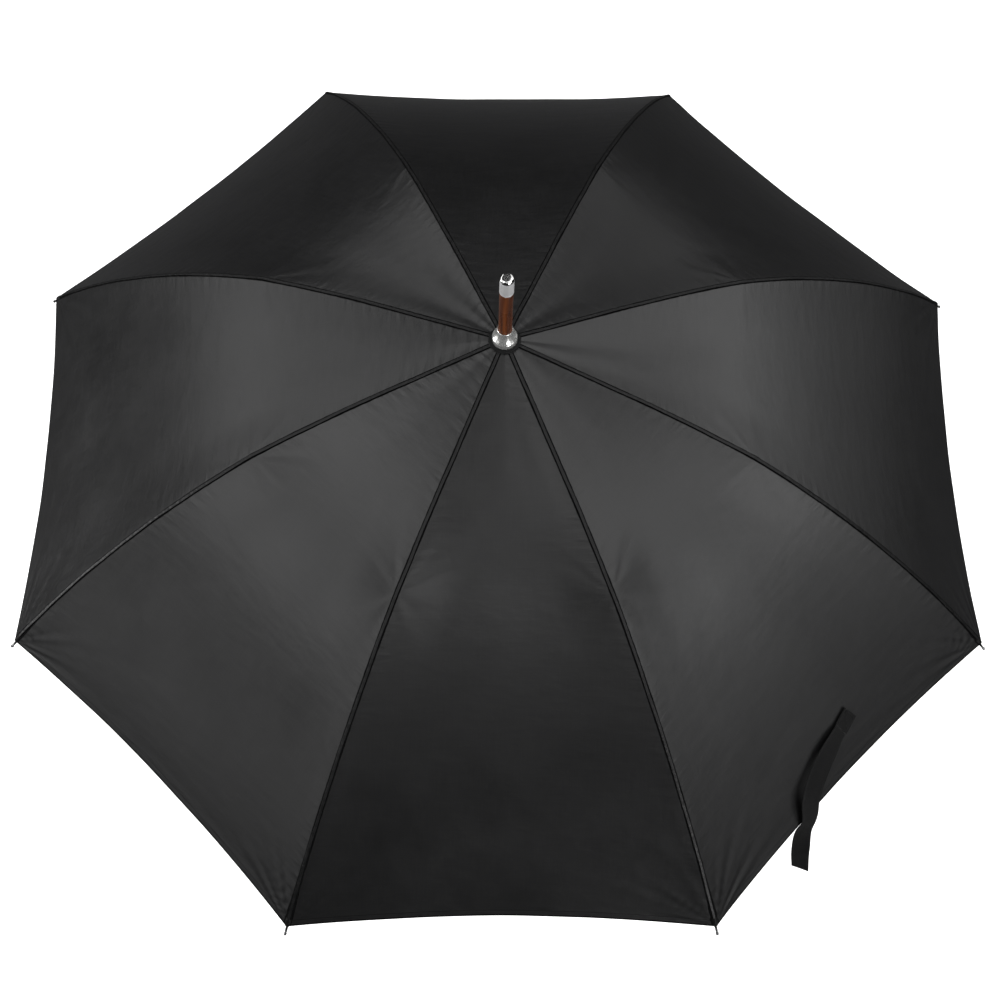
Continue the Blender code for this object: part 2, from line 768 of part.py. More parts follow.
def handle_mesh():
    section = circle(1.0, 18)
    stations = [
        (0.0, GRIP_TOP, 0.0098),
        (0.0, GRIP_TOP - 0.0008, 0.0103),
        (0.0, GRIP_TOP - 0.020, GRIP_RADIUS),
        (0.0, CROOK_START + 0.030, 0.0115),
        (0.0, CROOK_START, CROOK_SECTION),
    ]
    path = [(x, z, math.pi / 2, radius) for x, z, radius in stations]
    turns = 10
    for k in range(1, turns + 1):
        turn = math.pi * k / turns
        x = CROOK_RADIUS * (1 - math.cos(turn))
        z = CROOK_START - CROOK_RADIUS * math.sin(turn)
        path.append((x, z, math.pi / 2 - turn, CROOK_SECTION))
    far = 2 * CROOK_RADIUS
    top = CROOK_START + CROOK_END_RISE
    down = -math.pi / 2
    path.append((far, top - 0.010, down, 0.0120))
    for turn_deg in (25, 50, 72):
        turn = math.radians(turn_deg)
        z = top - 0.0095 + 0.0095 * math.sin(turn)
        path.append((far, z, down, 0.0118 * math.cos(turn) ** 0.8))
    path[-1] = (far, top, down, 0.0040)
    base = swept("handle", section, path)
    socket = turned(
        "socket",
        [
            (0.0, GRIP_TOP - SOCKET_DEPTH),
            (SHAFT_RADIUS + GAP, GRIP_TOP - SOCKET_DEPTH),
            (SHAFT_RADIUS + GAP, GRIP_TOP + 0.002),
            (0.0, GRIP_TOP + 0.002),
        ],
        closed=False,
    )
    return built("crook_handle", base, cut=[socket])


def handle_collar_mesh():
    low = GRIP_TOP + GAP
    profile = [
        (SHAFT_RADIUS + GAP, low),
        (0.0101, low),
        (0.0105, low + 0.0006),
        (0.0104, low + 0.0100),
        (0.0099, low + 0.0114),
        (0.0090, low + 0.0122),
        (SHAFT_RADIUS + GAP, low + 0.0124),
    ]
    return turned("handle_collar", profile)


# --- Tie strap --------------------------------------------------------------------------------


def on_strap_gore(across, share, lift):
    """A point over the strap's gore and the direction out of the cloth, in world space."""
    turn = Matrix.Rotation(math.radians(FIRST_RIB_DEG + (STRAP_GORE - 1) * RIB_STEP), 4, "Z")
    point, outward = gore_point(across, share, lift)
    return turn @ point, turn.to_3x3() @ outward


def strap_stations():
    """Points down the middle of the band and the way the band faces at each, in world space."""
    line = [on_strap_gore(*station) for station in STRAP_LAID]
    edge, outward = line[-1]
    out = Vector((outward.x, outward.y, 0.0)).normalized()
    side = Vector((0, 0, 1)).cross(out)
    first = out * math.cos(STRAP_LEAN) + Vector((0, 0, math.sin(STRAP_LEAN)))
    last = Vector(STRAP_END_FACES).normalized()
    for away, down, over, turned_share in STRAP_HANG:
        point = edge + out * away - Vector((0, 0, down)) - side * over
        line.append((point, first.lerp(last, turned_share).normalized()))
    return line


def curve_through(points, steps=24):
    """A smooth curve through points, with the distance run at each of its own points."""
    ends = [2 * points[0] - points[1], *points, 2 * points[-1] - points[-2]]
    found = []
    for a, b, c, d in zip(ends, ends[1:], ends[2:], ends[3:]):
        for t in np.linspace(0, 1, steps, endpoint=False):
            bend = 2 * a - 5 * b + 4 * c - d
            found.append(b + ((c - a) * t + bend * t**2 + (3 * b - a - 3 * c + d) * t**3) / 2)
    found = np.array([*found, points[-1]])
    run = np.linalg.norm(np.diff(found, axis=0), axis=1)
    return found, np.concatenate([[0.0], np.cumsum(run)])


def strap_path():
    """(point, outward) at even steps down the middle of the band, in world space."""
    stations = strap_stations()
    steps = 24
    curve, run = curve_through([np.array(point) for point, _ in stations], steps)
    facings = np.array([facing for _, facing in stations])
    even = np.linspace(0.0, run[-1], STRAP_RINGS)
    middle = np.stack([np.interp(even, run, curve[:, j]) for j in range(3)], -1)
    facing = np.stack([np.interp(even, run[::steps], facings[:, j]) for j in range(3)], -1)
    forward = np.gradient(middle, axis=0)
    line = []
    for k, share in enumerate(even / run[-1]):
        ahead = Vector(forward[k]).normalized()
        outward = Vector(facing[k])
        across = ahead.cross(outward).normalized()
        outward = across.cross(ahead)
        spread = (share - STRAP_ROLL_AT) / STRAP_ROLL_SPREAD
        roll = STRAP_ROLL * math.exp(-spread * spread) * min(share / STRAP_ROLL_START, 1.0)
        line.append((Vector(middle[k]), outward * math.cos(roll) + across * math.sin(roll)))
    return line


def strap_mesh(origin):
    line = strap_path()
    rings = []
    for k, (point, outward) in enumerate(line):
        before = line[max(0, k - 1)][0]
        after = line[min(len(line) - 1, k + 1)][0]
        along = (after - before).normalized()
        across = along.cross(outward).normalized() * (STRAP_WIDTH / 2)
        up = outward.normalized() * STRAP_THICK
        low = point - origin
        rings.append([low - across, low + across, low + across + up, low - across + up])
    return loft("tie_strap", rings)


def patch_frame():
    """The patch's middle, the direction out of the cloth and the way the strap leaves."""
    centre, outward = on_strap_gore(*PATCH_AT, PATCH_LIFT)
    ahead = strap_path()[0][0] - centre
    along = (ahead - outward * ahead.dot(outward)).normalized()
    return centre, outward, along


def patch_mesh(origin):
    centre, outward, along = patch_frame()
    across = along.cross(outward)
    rings = []
    for lift in (0.0, PATCH_THICK):
        ring = []
        for a, b in ((-1, -1), (1, -1), (1, 1), (-1, 1)):
            corner = centre + along * a * PATCH_LENGTH / 2 + across * b * PATCH_WIDTH / 2
            ring.append(corner + outward * lift - origin)
        rings.append(ring)
    return loft("strap_patch", rings)


# --- Build ------------------------------------------------------------------------------------


def main():
    cleared()
    scene = bpy.context.scene
    umbrella = bpy.data.collections.new("stick_umbrella")
    scene.collection.children.link(umbrella)

    look("black_cloth", (0.022, 0.022, 0.024), 0.75)
    look("polished_metal", (0.80, 0.80, 0.82), 0.14, 1.0)
    look("red_brown_wood", (0.23, 0.075, 0.028), 0.35)
    look("blackened_steel", (0.055, 0.055, 0.060), 0.38, 1.0)
    look("dark_glassfibre", (0.030, 0.030, 0.032), 0.42)
    look("black_plastic", (0.025, 0.025, 0.026), 0.45)
    look("bright_steel", (0.62, 0.62, 0.64), 0.25, 1.0)
    look("black_webbing", (0.018, 0.018, 0.020), 0.8)

    put("shaft", shaft_mesh(), "red_brown_wood", umbrella)
    put("crook_handle", handle_mesh(), "red_brown_wood", umbrella)
    put("handle_collar", handle_collar_mesh(), "polished_metal", umbrella)
    put("ferrule_wood", wood_tip_mesh(), "red_brown_wood", umbrella)
    put("ferrule_cap", cap_mesh(), "polished_metal", umbrella)
    put("canopy_collar", collar_mesh(), "polished_metal", umbrella)
    outer_disc = cone_ring("canopy_rosette", 0.0059, 0.0132, 0.0003, 0.0010)
    put("canopy_rosette", outer_disc, "black_cloth", umbrella)
    inner_disc = cone_ring("inner_rosette", 0.0059, 0.0160, -0.0020, 0.0006)
    put("inner_rosette", inner_disc, "black_cloth", umbrella)
    put("crown_notch", notch_mesh(), "black_plastic", umbrella, smooth=False)
    put("notch_wire", wire_mesh(NOTCH_PIVOT_Z), "bright_steel", umbrella)
    put("stop_pin", stop_pin_mesh(), "bright_steel", umbrella, (0, 0, STOP_Z))

    catch = catch_mesh()
    for name, foot in (("top_catch", TOP_CATCH_Z), ("bottom_catch", BOTTOM_CATCH_Z)):
        place = (0.0, -CATCH_PIVOT_RADIUS, foot)
        put(name, catch, "bright_steel", umbrella, place, -90.0, smooth=False)

    rib = inner_rib_mesh()
    rod = outer_rod_mesh()
    tip = tip_mesh()
    stretcher = stretcher_mesh()
    panel = panel_mesh()
    joint_place = (JOINT[0] - NOTCH_PIVOT[0], 0.0, JOINT[1] - NOTCH_PIVOT[1])
    stretchers = []
    rods = []
    for k in range(RIB_COUNT):
        turn = FIRST_RIB_DEG + k * RIB_STEP
        label = str(k + 1)
        around = Matrix.Rotation(math.radians(turn), 4, "Z")
        place = around @ Vector((NOTCH_PIVOT[0], 0.0, NOTCH_PIVOT[1]))
        inner = put("inner_rib_" + label, rib, "blackened_steel", umbrella, place, turn, smooth=False)
        outer = put("outer_rod_" + label, rod, "dark_glassfibre", umbrella, joint_place, 0, inner)
        rods.append(outer)
        put("rib_tip_" + label, tip, "bright_steel", umbrella, parent=outer)
        strut = put("stretcher_" + label, stretcher, "blackened_steel", umbrella, joint_place, 0, inner, False)
        stretchers.append(strut)
        put("canopy_panel_" + label, panel, "black_cloth", umbrella, parent=inner)

    around_first = Matrix.Rotation(math.radians(FIRST_RIB_DEG), 4, "Z")
    foot = around_first @ Vector((RUNNER_PIVOT[0], 0.0, RUNNER_PIVOT[1]))
    hinge = pivot("runner_pivot", foot, umbrella)
    sleeve = runner_mesh()
    wire = wire_mesh(RUNNER_PIVOT[1])
    for mesh in (sleeve, wire):
        mesh.transform(Matrix.Translation(-foot))
    put("runner", sleeve, "black_plastic", umbrella, parent=hinge, smooth=False)
    put("runner_wire", wire, "bright_steel", umbrella, parent=hinge)

    base = patch_frame()[0]
    stitch = pivot("strap_root", base, umbrella)
    put("strap_patch", patch_mesh(base), "black_webbing", umbrella, parent=stitch, smooth=False)
    put("tie_strap", strap_mesh(base), "black_webbing", umbrella, parent=stitch, smooth=False)
    bpy.context.view_layer.update()


main()
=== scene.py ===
"""Looks of an open stick umbrella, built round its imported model. Metres, +Z up the shaft."""

from math import cos, pi, radians, sin, sqrt, tan, tau

import bmesh
import bpy
import numpy as np
from mathutils import Matrix, Vector


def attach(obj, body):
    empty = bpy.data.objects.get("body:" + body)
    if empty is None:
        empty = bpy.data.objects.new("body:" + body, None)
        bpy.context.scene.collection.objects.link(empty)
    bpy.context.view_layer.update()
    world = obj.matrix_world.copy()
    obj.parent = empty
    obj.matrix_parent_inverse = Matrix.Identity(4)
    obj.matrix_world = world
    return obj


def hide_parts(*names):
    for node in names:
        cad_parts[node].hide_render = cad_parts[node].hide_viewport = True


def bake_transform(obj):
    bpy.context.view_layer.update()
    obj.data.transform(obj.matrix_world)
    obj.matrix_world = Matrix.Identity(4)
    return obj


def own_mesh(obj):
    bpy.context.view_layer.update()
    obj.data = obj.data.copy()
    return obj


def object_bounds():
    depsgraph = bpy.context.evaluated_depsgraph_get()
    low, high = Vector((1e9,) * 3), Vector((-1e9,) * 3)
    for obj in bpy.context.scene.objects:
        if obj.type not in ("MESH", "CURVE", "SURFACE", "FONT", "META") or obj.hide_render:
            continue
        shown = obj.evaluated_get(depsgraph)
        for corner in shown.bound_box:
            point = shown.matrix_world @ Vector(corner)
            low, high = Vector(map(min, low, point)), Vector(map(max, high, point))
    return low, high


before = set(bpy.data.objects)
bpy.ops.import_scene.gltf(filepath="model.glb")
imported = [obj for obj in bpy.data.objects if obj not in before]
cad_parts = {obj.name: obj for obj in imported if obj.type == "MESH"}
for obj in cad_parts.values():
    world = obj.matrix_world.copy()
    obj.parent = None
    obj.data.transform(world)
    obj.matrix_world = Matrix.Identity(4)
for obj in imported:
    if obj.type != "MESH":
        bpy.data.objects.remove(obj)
CAD_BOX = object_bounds()

# Canopy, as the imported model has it
RIBS = 8
STEP = tau / RIBS
FIRST = STEP / 2
CANOPY_ARC = 0.6095
JOINER = 0.43
INNER_SLOPES = ((0.0, 10.0), (0.08, 9.0), (0.20, 9.0), (0.40, 15.5), (0.43, 17.0))
OUTER_SLOPES = ((0.43, 23.0), (0.60, 32.0), (0.80, 41.0), (1.0, 49.0))
Z_APEX = 0.6770
GORE_SAG = 0.006
HEM_RISE = 0.014
PANEL_START = 0.0074
ROD_DEPTH = 0.0034
JOINT_DEPTH = 0.0083

# Handle and ferrule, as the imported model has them
GRIP_TOP = 0.055
CROOK_RADIUS = 0.043
CROOK_START = -0.036
CROOK_SECTION = 0.0122
WOOD_TIP_TOP = Z_APEX + 0.0820
TIP_TOP = Z_APEX + 0.1050

# Cloth
HEM = 0.008
HEM_FOLD = 0.00045
SEAM_HALF = 0.0021
COLUMNS = 24
INNER_ROWS = 84
OUTER_ROWS = 128
JOINER_SOFT = 0.055  # how far from a rib the bend over its joiner is spread
SEAM_SOFT = 0.30  # share of that spread the seam itself has
CANOPY_WEAVE = 0.00042  # from thread to thread
TRIM_WEAVE = 0.0004

# Strap
STRAP_GORE = 7
STRAP_WIDTH = 0.018
STRAP_LIFT = 0.0022
STRAP_THICK = 0.0010
STRAP_ROLL = 32.0  # degrees the band rolls over where it arches off the cloth

# --- Small helpers ----------------------------------------------------------------------------


def smooth(x):
    x = np.clip(x, 0.0, 1.0)
    return x * x * (3 - 2 * x)


def unit(v):
    return v / np.maximum(np.linalg.norm(v, axis=-1, keepdims=True), 1e-12)


def turned_z(points, angle):
    c, s = cos(angle), sin(angle)
    x, y, z = points[..., 0], points[..., 1], points[..., 2]
    return np.stack([c * x - s * y, s * x + c * y, z], -1)


def turns_round(count):
    return np.linspace(0, tau, count, endpoint=False)


def round_points(radius, height, turns):
    return np.stack(np.broadcast_arrays(radius * np.cos(turns), radius * np.sin(turns), height), -1)


def arc_lengths(line):
    """Distance along a line to each of its points."""
    return np.concatenate([[0], np.cumsum(np.linalg.norm(np.diff(line, axis=0), axis=1))])


def sampled(at, known, values):
    """Rows of values, known at some places, read at others."""
    return np.stack([np.interp(at, known, column) for column in values.T], -1)


def rib_angle(k):
    """k runs from 1 to 8, and 9 is 1 again."""
    return FIRST + (k - 1) * STEP


def link(name, mesh, material):
    piece = bpy.data.objects.new(name, mesh)
    mesh.materials.append(material)
    bpy.context.scene.collection.objects.link(piece)
    return piece


def dress(piece, body=None, node=None):
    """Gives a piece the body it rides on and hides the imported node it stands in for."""
    if body:
        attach(piece, body)
    if node:
        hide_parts(node)


def thicken(piece, thickness, offset):
    solid = piece.modifiers.new("thickness", "SOLIDIFY")
    solid.thickness = thickness
    solid.offset = offset


def add_uv(mesh, label, values):
    """A UV map from one (u, v) for each of the mesh's points."""
    corners = np.zeros(len(mesh.loops), np.int32)
    mesh.loops.foreach_get("vertex_index", corners)
    layer = mesh.uv_layers.new(name=label)
    layer.data.foreach_set("uv", values.reshape(-1, 2)[corners].astype(np.float32).ravel())


def shade_smooth(mesh):
    mesh.polygons.foreach_set("use_smooth", [True] * len(mesh.polygons))


def grid_faces(rows, columns, wrap, first=0):
    """Quads over a grid of points that starts at the point numbered first."""
    faces = []
    for r in range(first, first + (rows - 1) * columns, columns):
        for c in range(columns if wrap else columns - 1):
            d = (c + 1) % columns
            faces.append((r + c, r + d, r + columns + d, r + columns + c))
    return faces


def grid_mesh(name, points, normals=None, maps=None, wrap=False, flip=False):
    """A mesh over a (rows, columns, 3) grid, with UV maps given as name: (rows, columns, 2)."""
    faces = grid_faces(*points.shape[:2], wrap)
    mesh = bpy.data.meshes.new(name)
    mesh.from_pydata(points.reshape(-1, 3).tolist(), [], [face[::-1] for face in faces] if flip else faces)
    for label, values in (maps or {}).items():
        add_uv(mesh, label, values)
    shade_smooth(mesh)
    if normals is not None:
        mesh.normals_split_custom_set_from_vertices(normals.reshape(-1, 3).tolist())
    mesh.update()
    return mesh


def reworked(mesh, change):
    """Makes one change to a mesh and turns its faces outwards."""
    work = bmesh.new()
    work.from_mesh(mesh)
    work.verts.ensure_lookup_table()
    change(work)
    bmesh.ops.recalc_face_normals(work, faces=work.faces)
    work.to_mesh(mesh)
    work.free()


def closed_tube(name, rings, cloth=None):
    """A skin over (rows, columns, 3) rings, with both ends filled and a UV map if one is given."""
    rows, columns = rings.shape[:2]

    def fill_ends(work):
        for first in (0, (rows - 1) * columns):
            work.faces.new(work.verts[first:first + columns])

    mesh = grid_mesh(name, rings, wrap=True)
    reworked(mesh, fill_ends)
    if cloth is not None:
        add_uv(mesh, "cloth", cloth)
    return mesh


def turned(name, profile, crease):
    """Spins an (r, z) profile about Z, with its corners kept sharp from crease degrees."""
    turns = turns_round(96)
    rings = [round_points(radius, height, turns) for radius, height in profile]
    mesh = grid_mesh(name, np.array(rings), wrap=True)
    reworked(mesh, lambda work: bmesh.ops.remove_doubles(work, verts=work.verts, dist=1e-7))
    mesh.set_sharp_from_angle(angle=radians(crease))
    return mesh


# --- Materials --------------------------------------------------------------------------------


class Wire:
    """One output in a look's nodes. Sums written with it add the nodes that work them out."""

    def __init__(self, look, socket):
        self.look = look
        self.socket = socket

    def __add__(self, other):
        return self.look.maths("ADD", self, other)

    def __sub__(self, other):
        return self.look.maths("SUBTRACT", self, other)

    def __rsub__(self, other):
        return self.look.maths("SUBTRACT", other, self)

    def __mul__(self, other):
        return self.look.maths("MULTIPLY", self, other)

    def __abs__(self):
        return self.look.maths("ABSOLUTE", self)

    def most(self, other):
        return self.look.maths("MAXIMUM", self, other)

    def sine(self):
        return self.look.maths("SINE", self)

    def wave(self, period):
        return (self * (tau / period)).sine()

    def range(self, low, high, out_low=0.0, out_high=1.0):
        """Eases from out_low to out_high while the value goes from low to high."""
        ends = {"From_Min": low, "From_Max": high, "To_Min": out_low, "To_Max": out_high}
        settings = {"interpolation_type": "SMOOTHSTEP"}
        return self.look.wire("MapRange", settings, Value=self, **ends)

    def near(self, centre, half, soft):
        """1 within half of the centre, falling to 0 over soft."""
        return abs(self - centre).range(half, half + soft, 1.0, 0.0)

    def noise(self, scale=1.0, detail=3.0, roughness=0.5, distortion=0.0):
        grain = {"Scale": scale, "Detail": detail, "Roughness": roughness, "Distortion": distortion}
        return self.look.wire("TexNoise", output="Fac", Vector=self, **grain)

    def scaled(self, x, y, z=1.0, shift=(0, 0, 0)):
        return self.look.wire("Mapping", Vector=self, Scale=(x, y, z), Location=shift)

    def split(self):
        parts = self.look.node("SeparateXYZ", Vector=self)
        return [Wire(self.look, part) for part in parts.outputs]


class Look:
    """Builds one material's nodes."""

    def __init__(self, name):
        self.material = bpy.data.materials.new(name)
        self.material.use_nodes = True
        self.tree = self.material.node_tree

    def feed(self, node, key, value):
        socket = node.inputs[key]
        if isinstance(value, Wire):
            self.tree.links.new(value.socket, socket)
        elif socket.type == "RGBA" and len(value) == 3:
            socket.default_value = (*value, 1.0)
        else:
            socket.default_value = value

    def feed_all(self, node, sockets):
        for key, value in sockets.items():
            self.feed(node, key.replace("_", " "), value)

    def node(self, kind, settings=None, **sockets):
        made = self.tree.nodes.new("ShaderNode" + kind)
        for key, value in (settings or {}).items():
            setattr(made, key, value)
        self.feed_all(made, sockets)
        return made

    def wire(self, kind, settings=None, output=0, **sockets):
        return Wire(self, self.node(kind, settings, **sockets).outputs[output])

    def maths(self, operation, a, b=0.0):
        made = self.node("Math", {"operation": operation})
        self.feed(made, 0, a)
        self.feed(made, 1, b)
        return Wire(self, made.outputs[0])

    def mix(self, factor, a, b):
        made = self.node("Mix", {"data_type": "RGBA"})
        for place, value in ((0, factor), (6, a), (7, b)):
            self.feed(made, place, value)
        return Wire(self, made.outputs[2])

    def uv(self, name):
        return self.wire("UVMap", {"uv_map": name})

    def place(self):
        return self.wire("TexCoord", output="Object")

    def bump(self, height, distance, strength, after=None):
        under = {} if after is None else {"Normal": after}
        return self.wire("Bump", Height=height, Distance=distance, Strength=strength, **under)

    def out(self, colour, rough, **sockets):
        """Sets the shader's sockets and gives the material."""
        self.feed_all(self.tree.nodes["Principled BSDF"], {"Base_Color": colour, "Roughness": rough, **sockets})
        return self.material


def weave(cloth, pitch):
    """Height of a plain weave with this much from thread to thread."""
    x, y, _ = cloth.scaled(1 / pitch, 1 / pitch).split()
    warp, weft = x.wave(2.0), y.wave(2.0)
    over = (warp * weft).range(-0.4, 0.4)
    return abs(warp) * over + abs(weft) * (1.0 - over)


def canopy_cloth(name):
    """Black pongee with stitched hems, and painted shade beside the seams and along the hem. Its map "edges"
    says how far the seam and the hem are.
    """
    look = Look(name)
    cloth = look.uv("cloth")
    across, along, _ = cloth.split()
    seam_off, hem_off, _ = look.uv("edges").split()
    warp_slub = cloth.scaled(900.0, 30.0).noise(detail=2.0)
    weft_slub = cloth.scaled(30.0, 900.0, shift=(3.1, 7.7, 0.0)).noise(detail=2.0)
    streak = warp_slub * 0.5 + weft_slub * 0.5
    cloud = cloth.noise(9.0, 3.0, 0.6)
    tone = (streak * 0.7 + cloud * 0.3).range(0.32, 0.68)
    colour = look.mix(tone, (0.0036, 0.0036, 0.0038), (0.0074, 0.0074, 0.0077))
    seam_dash = along.wave(0.0032).range(-0.55, -0.25)
    hem_dash = across.wave(0.0032).range(-0.55, -0.25)
    seam_line = seam_off.near(0.0042, 0.00022, 0.0002)
    hem_line = hem_off.near(HEM - 0.0012, 0.00028, 0.00025)
    stitch = (seam_line * seam_dash * 0.35).most(hem_line * hem_dash)
    # Painted shade: the cloth's colour goes near black beside the seams, along the hem's stitches and at its
    # edge.
    uneven = cloth.scaled(20.0, 130.0).noise()
    spread = hem_off.range(0.0, 0.055, 0.0034, 0.0) * uneven + uneven * 0.0009
    beside = (seam_off - spread).range(0.0018, 0.0030, 1.0, 0.0)
    edge = hem_off.range(0.0010, 0.0024, 1.0, 0.0)
    painted_shade = beside.most(hem_line * 0.5).most(edge * 0.9)
    colour = look.mix(painted_shade, colour, (0.0008, 0.0008, 0.0009))
    colour = look.mix(stitch * 0.8, colour, (0.0035, 0.0035, 0.0038))
    near_edge = seam_off.range(0.0, 0.022, 1.0, 0.0).most(hem_off.range(0.0, 0.018, 1.0, 0.0))
    pucker = cloth.scaled(26.0, 60.0).noise(roughness=0.55)
    ridge = cloth.scaled(40.0, 170.0).noise(detail=2.0)
    normal = look.bump(pucker + cloud * 0.6, 0.0010, 0.35)
    normal = look.bump(ridge * near_edge, 0.0014, 0.35, normal)
    normal = look.bump(weave(cloth, CANOPY_WEAVE) - stitch * 3.0, 0.000012, 0.8, normal)
    # The painted shade also raises the roughness and lowers the specular level, so these bands stay dark.
    rough = (streak * 0.6 + cloud * 0.4).range(0.3, 0.7, 0.30, 0.38).most(painted_shade * 0.85)
    sheen = {"Sheen_Weight": 0.06, "Sheen_Roughness": 0.4, "Sheen_Tint": (0.9, 0.9, 0.92)}
    return look.out(colour, rough, Normal=normal, Specular_IOR_Level=painted_shade.range(0.0, 1.0, 0.5, 0.06), **sheen)


def seam_cloth(name):
    look = Look(name)
    cloth = look.uv("cloth")
    across, along, _ = cloth.split()
    off = abs(across)
    # Painted shade along both edges of the seam, where it meets the cloth: the colour goes near black, the
    # specular level drops and the roughness rises.
    seam_edge_shade = off.range(SEAM_HALF * 0.50, SEAM_HALF * 0.74)
    stitch = off.near(SEAM_HALF * 0.62, 0.00018, 0.00018) * along.wave(0.0030).range(-0.5, -0.2)
    wear = cloth.scaled(300.0, 120.0).noise()
    colour = look.mix(wear.range(0.3, 0.7), (0.0030, 0.0030, 0.0032), (0.0066, 0.0066, 0.0069))
    colour = look.mix(seam_edge_shade, colour, (0.0006, 0.0006, 0.0007))
    colour = look.mix(stitch * 0.8, colour, (0.003, 0.003, 0.0032))
    normal = look.bump(cloth.scaled(60.0, 260.0).noise(detail=2.0), 0.0012, 0.7)
    normal = look.bump(weave(cloth, TRIM_WEAVE) - stitch * 3.0, 0.00002, 0.8, normal)
    rough = wear.range(0.3, 0.7, 0.40, 0.52).most(seam_edge_shade * 0.85)
    sheen = {"Sheen_Weight": 0.03, "Sheen_Roughness": 0.4}
    return look.out(colour, rough, Normal=normal, Specular_IOR_Level=seam_edge_shade.range(0.0, 1.0, 0.26, 0.04), **sheen)


def plain_cloth(name):
    """The canopy's cloth, dull and doubled over, for its small parts."""
    look = Look(name)
    cloth = look.uv("cloth")
    cloud = cloth.scaled(260.0, 260.0).noise()
    slub = cloth.scaled(1500.0, 200.0).noise(detail=2.0)
    tone = cloud * 0.6 + slub * 0.4
    colour = look.mix(tone.range(0.3, 0.7), (0.0012, 0.0012, 0.0013), (0.0042, 0.0042, 0.0044))
    normal = look.bump(cloud, 0.0006, 0.6)
    normal = look.bump(weave(cloth, TRIM_WEAVE), 0.00003, 0.8, normal)
    sheen = {"Sheen_Weight": 0.04, "Sheen_Roughness": 0.4}
    return look.out(colour, tone.range(0.3, 0.7, 0.50, 0.64), Normal=normal, Specular_IOR_Level=0.16, **sheen)


def webbing(name):
    """Herringbone webbing with a line of stitches along both edges."""
    look = Look(name)
    cloth = look.uv("cloth")
    across, along, _ = cloth.split()
    off = abs(across)
    rib = abs((off + along).wave(0.0022))
    grain = abs(across.wave(0.0014))
    fuzz = cloth.scaled(1200.0, 1200.0).noise()
    cloud = cloth.noise(60.0)
    tone = rib * 0.4 + (fuzz * 0.35 + cloud * 0.3)
    colour = look.mix(tone.range(0.25, 0.85), (0.0008, 0.0008, 0.0009), (0.0032, 0.0032, 0.0034))
    line = off.near(STRAP_WIDTH / 2 - 0.0016, 0.00022, 0.0002)
    stitch = line * along.wave(0.0026).range(-0.5, -0.2)
    colour = look.mix(stitch * 0.8, colour, (0.0075, 0.0075, 0.0078))
    normal = look.bump(cloud, 0.001, 0.6)
    normal = look.bump(rib * 0.7 + (grain * 0.3 + stitch * 1.5), 0.00016, 0.8, normal)
    sheen = {"Sheen_Weight": 0.05, "Sheen_Roughness": 0.5}
    return look.out(colour, tone.range(0.2, 0.9, 0.62, 0.8), Normal=normal, Specular_IOR_Level=0.16, **sheen)


def hook_tape(name):
    look = Look(name)
    cloth = look.uv("cloth")
    cells = look.wire("TexVoronoi", output="Distance", Vector=cloth.scaled(1500.0, 1500.0), Scale=1.0)
    dots = cells.range(0.1, 0.45, 1.0, 0.0)
    fuzz = cloth.scaled(2500.0, 2500.0).noise(detail=2.0)
    colour = look.mix(dots * 0.6 + fuzz * 0.4, (0.003, 0.003, 0.003), (0.022, 0.022, 0.023))
    normal = look.bump(dots + fuzz * 0.4, 0.0003, 0.9)
    rough = fuzz.range(0.3, 0.7, 0.5, 0.75)
    return look.out(colour, rough, Normal=normal, Specular_IOR_Level=0.35)


def wood(name, grain_of, tones):
    """Varnished wood, from dark, middle and light tones, with its grain along the vector's z."""
    look = Look(name)
    vector = grain_of(look)
    long = vector.scaled(1.0, 1.0, 0.06)
    drift = vector.scaled(1.0, 1.0, 0.12).noise(55.0)
    fibre = long.noise(1700.0, 4.0, 0.6)
    streak = long.noise(420.0, 3.0, 0.55, 0.6)
    figure = (long.split()[0] * 900.0 + drift * 14.0).sine().range(-1.0, 1.0)
    tone = figure * 0.30 + (streak * 0.45 + fibre * 0.25)
    dark, middle, light = tones
    colour = look.mix(tone.range(0.25, 0.52), dark, middle)
    colour = look.mix(tone.range(0.50, 0.78), colour, light)
    pores = vector.scaled(1.0, 1.0, 0.03).noise(3600.0, 2.0).range(0.60, 0.72)
    colour = look.mix(pores * 0.5, colour, dark)
    rough = vector.noise(24.0).range(0.35, 0.7, 0.24, 0.36) + pores * 0.12
    normal = look.bump(fibre * 0.5 - pores, 0.00008, 0.6)
    return look.out(colour, rough, Normal=normal, Specular_IOR_Level=0.5, Coat_Weight=0.45, Coat_Roughness=0.12)


def crook_grain(look):
    """Grain that follows the handle round its crook."""
    x, y, z = look.place().split()
    px = CROOK_RADIUS - x
    pz = CROOK_START - z
    below = pz.most(0.0)
    above = look.maths("MINIMUM", pz, 0.0) * look.maths("SIGN", px)
    along = look.maths("ARCTAN2", below, px) * CROOK_RADIUS + above
    reach = look.maths("SQRT", px * px + below * below)
    return look.wire("CombineXYZ", X=reach - CROOK_RADIUS, Y=y, Z=along)


def metal(name, colour, rough, grime, brushed=0.0, bump=0.00002, body=1.0):
    look = Look(name)
    place = look.place()
    cloud = place.noise(160.0, 4.0, 0.6)
    fine = place.scaled(1.0, 1.0, 1.0 + 14.0 * brushed).noise(900.0)
    smudge = place.noise(60.0).range(0.45, 0.75)
    tint = look.mix(smudge * 0.6, colour, tuple(c * grime for c in colour))
    tint = look.mix(cloud.range(0.62, 0.75) * 0.25, tint, tuple(c * 0.4 for c in colour))
    value = (cloud * 0.6 + smudge * 0.4).range(0.3, 0.8, rough * 0.75, rough * 1.35) + fine * (0.05 * brushed)
    normal = look.bump(fine * (0.3 + brushed) + cloud * 0.5, bump, 0.7)
    return look.out(tint, value, Normal=normal, Metallic=body)


